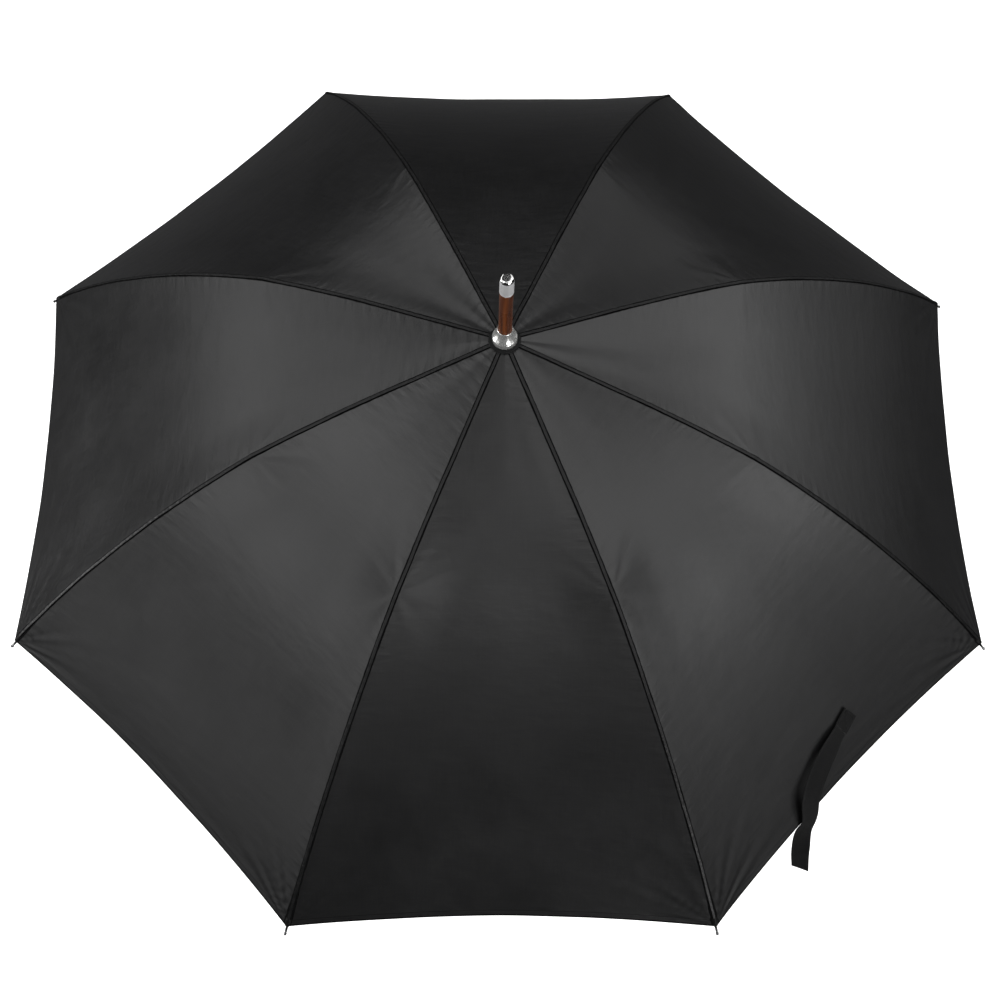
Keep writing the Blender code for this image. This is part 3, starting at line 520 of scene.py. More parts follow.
def painted(name, colour, worn, rough, shine=0.5):
    """Moulded or coated black, with fine grain and a little wear."""
    look = Look(name)
    place = look.place()
    grain = place.noise(2600.0, 3.0, 0.6)
    cloud = place.noise(90.0, 4.0)
    rub = place.scaled(1.0, 1.0, 0.5).noise(260.0, 4.0, 0.65).range(0.60, 0.74)
    tint = look.mix(cloud.range(0.3, 0.7), colour, tuple(c * 1.6 for c in colour))
    tint = look.mix(rub * 0.55, tint, worn)
    value = cloud.range(0.3, 0.7, rough - 0.06, rough + 0.06) + rub * -0.08
    normal = look.bump(grain * 0.6 + cloud * 0.4, 0.00006, 0.6)
    return look.out(tint, value, Normal=normal, Specular_IOR_Level=shine)


def rod_finish(name):
    """Pultruded glass fibre: long fibres under a thin glossy skin."""
    look = Look(name)
    place = look.place()
    fibre = place.noise(1400.0, 4.0, 0.7)
    tint = look.mix(fibre.range(0.35, 0.7), (0.006, 0.006, 0.0065), (0.030, 0.030, 0.031))
    rough = place.noise(70.0).range(0.3, 0.7, 0.28, 0.42)
    normal = look.bump(fibre, 0.00005, 0.6)
    return look.out(tint, rough, Normal=normal, Specular_IOR_Level=0.5, Coat_Weight=0.25, Coat_Roughness=0.2)


CLOTH = canopy_cloth("canopy_pongee")
SEAM = seam_cloth("canopy_seam")
PLAIN = plain_cloth("canopy_trim")
WEBBING = webbing("strap_webbing")
HOOKS = hook_tape("strap_hook_tape")
WOOD_TONES = ((0.052, 0.013, 0.004), (0.125, 0.033, 0.009), (0.190, 0.058, 0.018))
WOOD = wood("varnished_wood", Look.place, WOOD_TONES)
CROOK_WOOD = wood("varnished_wood_crook", crook_grain, WOOD_TONES)
CHROME = metal("polished_metal", (0.92, 0.92, 0.90), 0.22, 0.90, body=0.80)
DOME = metal("polished_dome", (0.90, 0.90, 0.89), 0.12, 0.88)
SATIN = metal("satin_cap_metal", (0.90, 0.90, 0.91), 0.46, 0.94, brushed=0.5, bump=0.00004, body=0.45)
STEEL = metal("bright_steel", (0.62, 0.62, 0.63), 0.26, 0.75, brushed=0.3, bump=0.00004)
BLACK_STEEL = painted("blackened_steel", (0.016, 0.016, 0.017), (0.16, 0.155, 0.15), 0.36, 0.6)
PLASTIC = painted("black_plastic", (0.012, 0.012, 0.0125), (0.035, 0.035, 0.035), 0.42)
ROD = rod_finish("dark_glassfibre")
THREAD = painted("black_thread", (0.008, 0.008, 0.0085), (0.02, 0.02, 0.02), 0.7, 0.3)

# --- Seam curve -------------------------------------------------------------------------------

CURVE = 2400
SHARES = np.linspace(0.0, 1.0, CURVE + 1)
SOFT_SPREAD = 0.075  # share of the arc that the softened curve's bends are blurred over


def curve_of(slope):
    step = CANOPY_ARC / CURVE
    middle = (slope[1:] + slope[:-1]) / 2
    radius = np.concatenate([[0.0], np.cumsum(np.cos(middle) * step)])
    height = Z_APEX - np.concatenate([[0.0], np.cumsum(np.sin(middle) * step)])
    return radius, height, slope


def sharp_slope():
    inner = np.interp(SHARES, *zip(*INNER_SLOPES))
    outer = np.interp(SHARES, *zip(*OUTER_SLOPES))
    return np.radians(np.where(SHARES <= JOINER, inner, outer))


def soft_slope():
    reach = int(3 * SOFT_SPREAD * CURVE)
    kernel = np.exp(-0.5 * (np.arange(-reach, reach + 1) / (SOFT_SPREAD * CURVE)) ** 2)
    slope = sharp_slope()
    before = np.full(reach, slope[0])
    after = slope[-1] + (slope[-1] - slope[-2]) * np.arange(1, reach + 1)
    return np.convolve(np.concatenate([before, slope, after]), kernel / kernel.sum(), "valid")


SHARP = curve_of(sharp_slope())
SOFT = curve_of(soft_slope())
RADIUS_END = SHARP[0][-1]


def seam_at(share, softness=0.0):
    """Radius, height and slope along a rib, with the bend at the joiner spread by softness."""
    beyond = np.maximum(share - 1.0, 0.0) * CANOPY_ARC
    values = [np.interp(share, SHARES, a) * (1 - softness) + np.interp(share, SHARES, b) * softness
              for a, b in zip(SHARP, SOFT)]
    return values[0] + beyond * np.cos(values[2]), values[1] - beyond * np.sin(values[2]), values[2]


def off_rib(line, sideways, above):
    """Points beside and above a (radius, height, slope) line, on a rib that lies along +X."""
    radius, height, slope = line
    parts = (radius + above * np.sin(slope), sideways, height + above * np.cos(slope))
    return np.stack(np.broadcast_arrays(*parts), -1)


def under(share, depth):
    radius, height, slope = seam_at(share)
    return radius - depth * np.sin(slope), height - depth * np.cos(slope)


# --- Gores ------------------------------------------------------------------------------------


def around_point(x, y, reach):
    """Angle and distance from a point, and a height that is 1 at reach and fades from there."""
    rho = np.hypot(x, y)
    return np.arctan2(y, x), rho, rho / reach * np.exp(1.0 - rho / reach)


def ripple(index, across, share, half_width):
    """How far the real cloth stands off the smooth gore: puckers, corner and joiner wrinkles."""
    seeded = np.random.default_rng(100 + index)
    off_hem = (1.0 - share) * CANOPY_ARC
    arc = share * CANOPY_ARC
    total = np.zeros_like(across)
    for side in (-1, 1):
        phase = seeded.uniform(0, tau, 8)
        size = seeded.uniform(0.7, 1.3, 4)
        off = half_width * (1.0 - side * across)
        drift = 1.5 * np.sin(arc * 23.0 + phase[0]) + np.sin(arc * 61.0 + phase[1])
        puckers = np.sin(arc * tau / 0.0135 + drift + off * 90.0)
        total += 0.00014 * size[0] * np.exp(-off / 0.010) * puckers
        theta, rho, fade = around_point(off, off_hem, 0.022)
        rays = 0.6 * np.sin(theta * 15.0 + phase[2]) + 0.5 * np.sin(theta * 24.0 + phase[3] + rho * 30.0)
        total += 0.00034 * size[1] * rays * fade
        theta, _, fade = around_point(off, arc - JOINER * CANOPY_ARC, 0.020)
        rays = np.sin(theta * 8.0 + phase[4]) + 0.5 * np.sin(theta * 13.0 + phase[5])
        total += 0.00009 * size[2] * rays * fade
        theta, _, fade = around_point(arc, off, 0.05)
        total += 0.00009 * size[3] * np.sin(theta * 20.0 + phase[6]) * fade
    fixed = half_width * (1.0 - np.abs(across))
    wave = seeded.uniform(0, tau, 3)
    broad = np.sin(across * 5.0 + share * 4.0 + wave[0]) + 0.7 * np.sin(across * 8.0 - share * 7.0 + wave[1])
    total += 0.0003 * broad * (1.0 - across**2) * share
    hem_wave = np.sin(across * 16.0 + wave[2]) * np.exp(-off_hem / 0.03)
    total += 0.0001 * hem_wave * (1.0 - across**2)
    return total * (1.0 - np.exp(-fixed / 0.0035))


def gore(index, across, share, lift=0.0, wrinkled=True):
    """Points of gore number index, turned into place, the directions out of it and its half width."""
    bow = 1.0 - across**2
    arc_share = share * (1.0 - HEM_RISE * bow * share**2)
    half = np.interp(arc_share, SHARES, SHARP[0]) * sin(STEP / 2)
    softness = SEAM_SOFT + (1.0 - SEAM_SOFT) * smooth(half * (1.0 - np.abs(across)) / JOINER_SOFT)
    radius, height, slope = seam_at(arc_share, softness)
    part = (across + 1) / 2
    x = radius * (1 - part) + radius * cos(STEP) * part
    y = radius * sin(STEP) * part
    steep = np.arctan(np.tan(slope) / cos(STEP / 2))
    level = np.sin(steep)
    out = np.stack([level * cos(STEP / 2), level * sin(STEP / 2), np.cos(steep)], -1)
    off = lift - GORE_SAG * bow * radius / RADIUS_END
    if wrinkled:
        off = off + ripple(index, across, share, half)
    points = np.stack([x, y, height], -1) + out * np.asarray(off)[..., None]
    turn = rib_angle(index)
    return turned_z(points, turn), turned_z(out, turn), half


def gore_normals(points):
    return unit(np.cross(np.gradient(points, axis=0), np.gradient(points, axis=1)))


# Plane that each half gore gathers into: tilt and lean in degrees, lift off the joint, and what is kept
PLEATS = {"inner": (12.6, 6.3, 0.0025, 0.151), "outer": (21.2, 30.4, -0.0040, 0.107)}


def squash_axis(k, side, part):
    """Axis, anchor and keep that gather the half gore beside rib k into its pleat."""
    tilt_deg, lean_deg, lift, keep = PLEATS[part]
    tilt, lean = radians(tilt_deg), radians(lean_deg)
    angle = rib_angle(k)
    tangent = np.array([-sin(angle), cos(angle), 0.0]) * side
    radial = np.array([cos(angle), sin(angle), 0.0])
    out = sin(lean) * radial + cos(lean) * np.array([0.0, 0.0, 1.0])
    joint_x, joint_z = under(JOINER, JOINT_DEPTH)
    joint = joint_x * radial + np.array([0.0, 0.0, joint_z])
    axis = cos(tilt) * tangent - sin(tilt) * out
    return tuple(axis), tuple(joint + out * (JOINT_DEPTH + lift)), keep


def half_columns(side):
    """From the seam at side (-1 or 1) to the middle, closer together near the seam."""
    t = np.linspace(0, 1, COLUMNS + 1) ** 1.45
    return -1.0 + t if side < 0 else (1.0 - t)[::-1]


def area_of(points):
    over = points[:-1, 1:] - points[:-1, :-1]
    down = points[1:, :-1] - points[:-1, :-1]
    return float(np.linalg.norm(np.cross(over, down), axis=-1).sum())


HEM_TURNS = (30, 65, 100, 140, 180)  # degrees round the hem's fold
HEM_BACKS = (0.0012, 0.0030, 0.0050, 0.0068, HEM)  # from the fold to the hem's inner rows


def folded_hem(index, across, points, outward):
    """Rows that turn under from the gore's last row and run back up inside."""
    down = unit(points[-1] - points[-2])
    rows = []
    for turn in np.radians(HEM_TURNS):
        rows.append(points[-1] + HEM_FOLD * (down * sin(turn) + outward[-1] * (cos(turn) - 1)))
    for back in HEM_BACKS:
        inside, out, _ = gore(index, across, np.full_like(across, 1.0 - back / CANOPY_ARC))
        rows.append(inside - out * 2 * HEM_FOLD)
    return np.array(rows)


def build_gore(index):
    """One gore as four sheets, each on its own rib or rod: (piece, points, rib, whether outer)."""
    inner_share = np.linspace(PANEL_START / CANOPY_ARC, JOINER, INNER_ROWS + 1)
    t = np.linspace(0, 1, OUTER_ROWS + 1)
    outer_share = JOINER + (1 - JOINER) * (1 - (1 - t) ** 1.15)
    share = np.concatenate([inner_share, outer_share[1:]])
    across = np.concatenate([half_columns(-1), half_columns(1)[1:]])
    a_grid, s_grid = np.meshgrid(across, share)
    points, outward, half = gore(index, a_grid, s_grid)
    full = np.concatenate([points, folded_hem(index, across, points, outward)])
    normals = gore_normals(full)
    if (normals[10, 10] * outward[10, 10]).sum() < 0:
        normals = -normals
    off_fold = np.array([0.0] * len(HEM_TURNS) + list(HEM_BACKS))[:, None] + np.zeros_like(across)

    def with_hem(first, second, second_hem):
        """A map over the gore and its hem, where the first value stays as it is on the last row."""
        first = np.concatenate([first, np.repeat(first[-1:], len(off_fold), 0)])
        return np.stack([first, np.concatenate([second, second_hem])], -1)

    cloth_map = with_hem(half * a_grid, s_grid * CANOPY_ARC, CANOPY_ARC + 0.001 + off_fold)
    edge_map = with_hem(half * (1.0 - np.abs(a_grid)), (1.0 - s_grid) * CANOPY_ARC, off_fold)
    made = []
    for side, word in ((-1, "left"), (1, "right")):
        k = index if side < 0 else index % RIBS + 1
        columns = slice(0, COLUMNS + 1) if side < 0 else slice(COLUMNS, 2 * COLUMNS + 1)
        for outer, rows in ((False, slice(0, INNER_ROWS + 1)), (True, slice(INNER_ROWS, None))):
            part = "outer" if outer else "inner"
            name = f"gore_{index}_{part}_{word}"
            cut = (rows, columns)
            maps = {"cloth": cloth_map[cut], "edges": edge_map[cut]}
            piece = link(name, grid_mesh(name, full[cut], normals[cut], maps, flip=True), CLOTH)
            dress(piece, f"{'rod' if outer else 'rib'}_{k}", f"canopy_panel_{index}")
            axis, anchor, keep = squash_axis(k, -side, part)
            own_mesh(piece)
            made.append((piece, full[cut], k, outer))
    return made


# Section of a felled seam: (sideways, up), in halves of its width and in its lift
SEAM_SECTION = (
    (-1.0, -0.35), (-0.93, 0.35), (-0.70, 0.95), (-0.45, 0.80), (0.0, 0.62), (0.45, 0.80),
    (0.70, 0.95), (0.93, 0.35), (1.0, -0.35), (0.75, -1.15), (0.0, -1.3), (-0.75, -1.15),
)
SEAM_ROWS = 330
BLEND_REACH = 0.018  # each way from the joiner


def seam_strip(k):
    """The felled seam along rib k, raised and slightly puckered."""
    seeded = np.random.default_rng(300 + k)
    share = np.linspace((PANEL_START + 0.003) / CANOPY_ARC, 1.0 - 0.0006 / CANOPY_ARC, SEAM_ROWS)
    arc = share * CANOPY_ARC
    phase = seeded.uniform(0, tau, 6)
    pucker = np.sin(arc * tau / 0.0095 + 1.2 * np.sin(arc * 40 + phase[0]) + phase[1])
    drift = np.sin(arc * 55 + phase[2]) + 0.6 * np.sin(arc * 120 + phase[3])
    knot = np.exp(-(((arc - JOINER * CANOPY_ARC) / 0.006) ** 2))
    taper = 0.72 + 0.28 * smooth((arc - arc[0]) / 0.16)
    half = (SEAM_HALF + 0.00012 * pucker + 0.0001 * drift + 0.0005 * knot) * taper
    lift = 0.00066 + 0.00012 * pucker + 0.00035 * knot
    middle = 0.00022 * drift * smooth((arc - arc[0]) / 0.03) * smooth((arc[-1] - arc) / 0.02)
    line = seam_at(share, SEAM_SOFT)
    tilt = np.sin(line[2]) * tan(STEP / 2)  # how fast the gores fall away beside the seam
    turn = rib_angle(k)
    rings, cloth = [], []
    for side, up in SEAM_SECTION:
        sideways = middle + half * side
        rings.append(turned_z(off_rib(line, sideways, lift * up - np.abs(sideways) * tilt), turn))
        cloth.append(np.stack([half * side, arc], -1))
    mesh = closed_tube(f"seam_{k}", np.stack(rings, 1), np.stack(cloth, 1))
    shade_smooth(mesh)
    piece = link(f"seam_{k}", mesh, SEAM)
    for shift in (-BLEND_REACH, BLEND_REACH):
        r, z, _ = seam_at(JOINER + shift / CANOPY_ARC)
        r * cos(turn)
        r * sin(turn)
    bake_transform(piece)
    return piece


def small_cloth(kind, k, body, rows, cloth, thickness, offset):
    """A small piece of the canopy's cloth on rib k or its rod."""
    name = f"{kind}_{k}"
    points = turned_z(np.array(rows), rib_angle(k))
    piece = link(name, grid_mesh(name, points, maps={"cloth": np.stack(cloth, -1)}), PLAIN)
    thicken(piece, thickness, offset)
    dress(piece, f"{body}_{k}")
    return piece


# Corner pocket: (how far past the hem's corner, half width, height) of each ring
POCKET = (
    (-0.0105, 0.0006, 0.0030), (-0.0090, 0.0030, 0.0037), (-0.0060, 0.0034, 0.0040), (-0.0030, 0.0033, 0.0038),
    (-0.0008, 0.0030, 0.0034), (0.0006, 0.0026, 0.0029), (0.0010, 0.0023, 0.0024),
)


def corner_tab(k):
    """The stitched pocket that holds the rod's metal end at the gores' corner."""
    angles = np.radians(np.linspace(-125, 125, 21))
    slope = float(seam_at(1.0)[2])
    rows = []
    for along, half, top in POCKET:
        x, z = under(1.0 + min(along, 0.0) / CANOPY_ARC, ROD_DEPTH)
        beyond = max(along, 0.0)
        line = (x + beyond * cos(slope), z - beyond * sin(slope), slope)
        wave = 1.0 + 0.03 * np.sin(angles * 9.0 + along * 900.0)
        rows.append(off_rib(line, half * np.sin(angles) * wave, top * np.cos(angles) * wave))
    cloth = np.meshgrid(np.linspace(-0.004, 0.004, len(angles)), [ring[0] for ring in POCKET])
    return small_cloth("corner_tab", k, "rod", rows, cloth, 0.0004, 1.0)


def joiner_pad(k):
    """A small cloth pad between the joiner and the canopy."""
    arcs = np.linspace(-0.013, 0.011, 13)
    sides = np.linspace(-1, 1, 15)
    rows = []
    for along in arcs:
        line = seam_at(JOINER + along / CANOPY_ARC)
        width = 0.0050 * sqrt(max(0.0, 1 - (abs(along + 0.001) / 0.0135) ** 2)) + 0.001
        sideways = sides * width
        above = -0.00155 - np.abs(sideways) * (np.sin(line[2]) * tan(STEP / 2) + 0.22)
        rows.append(off_rib(line, sideways, above))
    return small_cloth("joiner_pad", k, "rib", rows, np.meshgrid(sides * 0.008, arcs), 0.00035, 0.0)


def thread_tie(k, share, body, wide, deep):
    """Three turns of thread that tie the seam down to the rib."""
    turn = rib_angle(k)
    radius, height, slope = seam_at(share)
    steps = np.linspace(0, 1, 3 * 20 + 1)
    angle = 3 * tau * steps
    along = 0.0009 * (steps - 0.5)
    line = (radius + along * np.cos(slope), height - along * np.sin(slope), slope)
    above = -deep / 2 + (deep / 2 - 0.0003) * np.sin(angle)
    path = turned_z(off_rib(line, wide * np.cos(angle), above), turn)
    axis = turned_z(np.array([np.cos(slope), 0.0, -np.sin(slope)]), turn)
    across = unit(np.cross(unit(np.gradient(path, axis=0)), axis))
    turns = turns_round(6)[None, :, None]
    rings = path[:, None] + 0.00017 * (np.cos(turns) * across[:, None] + np.sin(turns) * axis)
    name = f"thread_tie_{k}_{body[:3]}"
    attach(link(name, closed_tube(name, rings), THREAD), f"{body}_{k}")


def rosette(name, node, above, outer_radius, points_round):
    """A round of cloth with a pinked edge, cupped a little where it lies."""
    inner_radius = 0.0061
    turns = turns_round(points_round * 8)
    slope = tan(radians(INNER_SLOPES[0][1]))
    pinked = np.abs((turns * points_round / tau) % 1.0 - 0.5) * 2
    rows = []
    for step in np.linspace(0, 1, 9):
        radius = inner_radius + (outer_radius - inner_radius) * step - 0.0007 * step**3 * pinked
        cupped = 0.00018 * step * np.sin(turns * 5) + 0.0001 * np.sin(turns * 11 + step * 4)
        height = Z_APEX - radius * slope + above + cupped
        rows.append(round_points(radius, height, turns))
    points = np.array(rows)
    piece = link(name, grid_mesh(name, points, maps={"cloth": points[..., :2]}, wrap=True, flip=True), PLAIN)
    thicken(piece, 0.0005, 0.0)
    dress(piece, "frame", node)


# --- Tie strap --------------------------------------------------------------------------------


def through(points, count):
    """A smooth curve through points, evenly spaced, and its length."""
    points = np.asarray(points, float)
    ends = [2 * points[0] - points[1], *points, 2 * points[-1] - points[-2]]
    found = []
    for a, b, c, d in zip(ends, ends[1:], ends[2:], ends[3:]):
        for t in np.linspace(0, 1, 24, endpoint=False):
            bend = (2 * a - 5 * b + 4 * c - d) * t**2 + (3 * b - a - 3 * c + d) * t**3
            found.append(0.5 * (2 * b + (c - a) * t + bend))
    found.append(points[-1])
    found = np.array(found)
    far = arc_lengths(found)
    return sampled(np.linspace(0, far[-1], count), far, found), far[-1]


# The band's middle where it lies on its gore: (across, share, lift)
STRAP_LAID = (
    (0.077, 0.913, 0.0024), (-0.017, 0.918, 0.0055), (-0.124, 0.927, 0.0090), (-0.214, 0.941, 0.0108),
    (-0.287, 0.962, 0.0108),
)
# And where it hangs from there: (away, down, over, how far it has turned to its end's facing)
STRAP_HANG = (
    (0.0095, 0.018, 0.008, 0.05), (0.013, 0.040, 0.016, 0.40), (0.021, 0.066, 0.022, 0.80),
    (0.031, 0.096, 0.027, 1.00),
)
STRAP_END_FACES = (-0.46, -0.77, 0.36)
# Direction the band flattens in as the canopy folds: across to its gore, outwards and up from rib 8
STRAP_FOLD = (0.775, -0.425, -0.467)
PATCH_AT = (0.128, 0.907)
PATCH_SIDE = 0.0195
PATCH_ROWS = 14
PATCH_MARGIN = 0.0022  # from its edge to the stitches
UP = np.array([0.0, 0.0, 1.0])


def strap_line():
    """(points, facings) down the middle of the band, first laid on its gore and then hanging over the hem."""
    points, facings = [], []
    for across, share, lift in STRAP_LAID:
        point, out, _ = gore(STRAP_GORE, np.array(across), np.array(share), lift, wrinkled=False)
        points.append(point)
        facings.append(out)
    edge = points[-1]
    out = unit(np.array([facings[-1][0], facings[-1][1], 0.0]))
    side = np.cross(UP, out)
    hanging = unit(out * 0.85 + UP * 0.5)
    for away, down, over, turned_share in STRAP_HANG:
        points.append(edge + out * away - UP * down - side * over)
        facings.append(unit(hanging * (1 - turned_share) + unit(np.array(STRAP_END_FACES)) * turned_share))
    return np.array(points), np.array(facings)


# Section of a woven band: (sideways, up), in halves of its width and in its thickness
BAND_SECTION = (
    (-1.0, 0.35), (-0.985, 0.85), (-0.95, 1.0), (-0.90, 0.88), (-0.5, 0.80), (0.0, 0.78),
    (0.5, 0.80), (0.90, 0.88), (0.95, 1.0), (0.985, 0.85), (1.0, 0.35), (0.97, 0.02),
    (0.5, 0.0), (0.0, 0.0), (-0.5, 0.0), (-0.97, 0.02),
)


def band(name, line, facing, width, thick, material, lift=0.0):
    """A flat woven band along a line, with firm rolled edges."""
    forward = unit(np.gradient(line, axis=0))
    across = unit(np.cross(forward, facing))
    up = unit(np.cross(across, forward))
    far = arc_lengths(line)
    rings, cloth = [], []
    for side, high in BAND_SECTION:
        rings.append(line + across * side * width / 2 + up * (lift + high * thick))
        cloth.append(np.stack([np.full_like(far, side * width / 2), far], -1))
    return link(name, closed_tube(name, np.stack(rings, 1), np.stack(cloth, 1)), material)


STITCH_RADIUS = 0.00022
STITCH_LENGTH = 0.0021
STITCH_GAP = 0.0007
STITCH_ROWS = ((-1.0, 0.25), (-0.6, 0.9), (0.0, 1.0), (0.6, 0.9), (1.0, 0.25))  # where, and how thick
STITCH_SIDES = 6


def stitches(name, paths, facing, body):
    """Short raised stitches along straight paths, as one mesh."""
    points, faces = [], []
    rows = len(STITCH_ROWS)
    for start, end in paths:
        run = np.linalg.norm(end - start)
        count = max(1, int(run / (STITCH_LENGTH + STITCH_GAP)))
        direction = (end - start) / run
        side = unit(np.cross(direction, facing))
        for k in range(count):
            middle = start + direction * run * (k + 0.5) / count
            first = len(points)
            for t, swell in STITCH_ROWS:
                centre = middle + direction * t * STITCH_LENGTH / 2 + facing * STITCH_RADIUS * 0.5 * (1 - t * t)
                for angle in turns_round(STITCH_SIDES):
                    ring = side * cos(angle) + facing * sin(angle)
                    points.append(tuple(centre + ring * STITCH_RADIUS * swell))
            last = first + (rows - 1) * STITCH_SIDES
            faces += grid_faces(rows, STITCH_SIDES, True, first)
            faces.append(tuple(reversed(range(first, first + STITCH_SIDES))))
            faces.append(tuple(range(last, last + STITCH_SIDES)))
    mesh = bpy.data.meshes.new(name)
    mesh.from_pydata(points, [], faces)
    shade_smooth(mesh)
    piece = link(name, mesh, THREAD)
    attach(piece, body)
    return piece


def build_strap():
    stations, faced = strap_line()
    fine, length = through(stations, 400)
    far = np.linspace(0, length, len(fine))
    at = [far[np.linalg.norm(fine - p, axis=1).argmin()] for p in stations]
    steps = np.linspace(0, length, 120)
    line = sampled(steps, far, fine)
    facing = unit(sampled(steps, at, faced))
    share = steps / length
    across = unit(np.cross(unit(np.gradient(line, axis=0)), facing))
    roll = np.radians(STRAP_ROLL) * np.exp(-(((share - 0.30) / 0.22) ** 2)) * np.minimum(share / 0.12, 1.0)
    facing = unit(facing * np.cos(roll)[:, None] + across * np.sin(roll)[:, None])
    line = line + facing * (0.0008 * np.sin(share * 17.0) * smooth(share / 0.2))[:, None]
    strap = band("strap_band", line, facing, STRAP_WIDTH, STRAP_THICK, WEBBING)
    end = slice(-24, -2)
    pad = band("strap_hooks", line[end], facing[end], STRAP_WIDTH - 0.0020, 0.0009, HOOKS, -STRAP_THICK)

    centre, out, _ = gore(STRAP_GORE, np.array(PATCH_AT[0]), np.array(PATCH_AT[1]), STRAP_LIFT, wrinkled=False)
    along = unit(stations[0] - centre)
    side = unit(np.cross(along, out))
    out = np.cross(side, along)
    reach = np.linspace(-PATCH_SIDE / 2, PATCH_SIDE / 2 + 0.0004, PATCH_ROWS)[:, None]
    patch_faces = np.repeat(out[None], PATCH_ROWS, 0)
    patch = band("strap_root", centre - out * 0.0003 + along * reach, patch_faces, PATCH_SIDE, 0.0013, WEBBING)
    top = centre + out * 0.00105
    a, b = along * (PATCH_SIDE / 2 - PATCH_MARGIN), side * (PATCH_SIDE / 2 - PATCH_MARGIN)
    corners = [top - a - b, top + a - b, top + a + b, top - a + b]
    box = list(zip(corners, corners[1:] + corners[:1])) + [(corners[0], corners[2]), (corners[1], corners[3])]
    sewn = stitches("strap_stitches", box, out, "strap_root")

    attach(patch, "strap_root")
    axis, _, keep = squash_axis(STRAP_GORE + 1, -1, "outer")
    for piece in (patch, sewn):
        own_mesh(piece)
    over, away, rise = STRAP_FOLD
    turn = rib_angle(STRAP_GORE + 1)
    axis = (over * sin(turn) + away * cos(turn), away * sin(turn) - over * cos(turn), rise)
    for piece in (strap, pad):
        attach(piece, "strap")
        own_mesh(piece)
    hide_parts("tie_strap")
    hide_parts("strap_patch")


# --- Ferrule and handle -----------------------------------------------------------------------


def hard(name, mesh, material, node):
    """A solid part of the frame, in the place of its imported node."""
    dress(link(name, mesh, material), "frame", node)


CORNER_CUT = 0.0006
CORNER_SHARE = 0.45  # the most of a side that a corner may take


def rounded(points):
    """An (r, z) outline with its inner corners cut to short arcs."""
    points = [np.array(p, float) for p in points]
    out = [points[0]]
    for before, here, after in zip(points, points[1:], points[2:]):
        a, b = (here + (end - here) * min(CORNER_SHARE, CORNER_CUT / np.linalg.norm(end - here))
                for end in (before, after))
        for t in np.linspace(0, 1, 6):
            out.append((1 - t) ** 2 * a + 2 * t * (1 - t) * here + t**2 * b)
    out.append(points[-1])
    return out


# Outlines as (radius, height). The bell's heights are from the apex, the others' from their own foot.
BELL_FOOT = (
    (0.0062, 0.0003), (0.0108, -0.0004), (0.0119, -0.0001), (0.0119, 0.0050), (0.0116, 0.0060), (0.0109, 0.0067),
)
BELL_CURVE = ((0.0109, 0.0067), (0.0094, 0.0092), (0.0083, 0.0122), (0.0077, 0.0155), (0.0075, 0.0174))
BELL_LIP = ((0.0074, 0.0180), (0.0071, 0.0182), (0.0066, 0.0178), (0.0066, 0.0150))
CAP_FOOT = (
    (0.0058, 0.0), (0.0065, 0.0), (0.0067, 0.0006), (0.00665, 0.0016), (0.00652, 0.0019), (0.00665, 0.0023),
)
GRIP_COLLAR = (
    (0.0074, 0.0), (0.0099, 0.0), (0.0105, 0.0006), (0.0105, 0.0020), (0.0101, 0.0025), (0.0101, 0.0030),
    (0.0105, 0.0035), (0.01045, 0.0096), (0.0099, 0.0112), (0.0090, 0.0121), (0.0076, 0.0124), (0.0074, 0.0124),
)
COLLAR_GAP = 0.0003
DOME_HEIGHT = 0.0034


def raised(outline, by):
    return [(radius, height + by) for radius, height in outline]


def build_ferrule():
    curve = through(raised(BELL_CURVE, Z_APEX), 26)[0]
    profile = rounded(raised(BELL_FOOT, Z_APEX))[:-1] + [tuple(p) for p in curve] + raised(BELL_LIP, Z_APEX)
    hard("collar_bell", turned("collar_bell", profile, 50), CHROME, "canopy_collar")

    low, top = Z_APEX + 0.0050, WOOD_TIP_TOP
    profile = [(0.0001, low), (0.0063, low), (0.00635, low + 0.02), (0.00638, Z_APEX + 0.045)]
    profile += [(0.00642, top - 0.004), (0.00645, top - 0.0008), (0.0062, top - 0.0001), (0.0001, top)]
    hard("tip_wood", turned("tip_wood", profile, 50), WOOD, "ferrule_wood")

    profile = raised(CAP_FOOT, WOOD_TIP_TOP + COLLAR_GAP) + [(0.0066, TIP_TOP - 0.0036)]
    for turn in np.radians(range(5, 91, 5)):
        profile.append((0.0044 + 0.0022 * cos(turn), TIP_TOP - DOME_HEIGHT + DOME_HEIGHT * sin(turn)))
    profile += [(0.0030, TIP_TOP), (0.0015, TIP_TOP), (0.0001, TIP_TOP)]
    mesh = turned("tip_cap", profile, 60)
    hard("tip_cap", mesh, SATIN, "ferrule_cap")
    mesh.materials.append(DOME)
    for face in mesh.polygons:
        if face.center.z > TIP_TOP - 0.0030:
            face.material_index = 1


GRIP_LIP = ((0.0, 0.0096), (0.0004, 0.0100), (0.0014, 0.01035))  # (drop from the top, radius)
GRIP_RADII = (  # (height, radius)
    (GRIP_TOP - 0.0008, 0.0104), (GRIP_TOP - 0.020, 0.0108), (CROOK_START + 0.030, 0.0115),
    (CROOK_START, CROOK_SECTION),
)
NOSE_RADIUS = 0.0118
NOSE_LENGTH = 0.0095
NOSE_TURNS = (12, 24, 36, 48, 60, 70, 78, 84, 89.2)  # degrees round the handle's rounded end


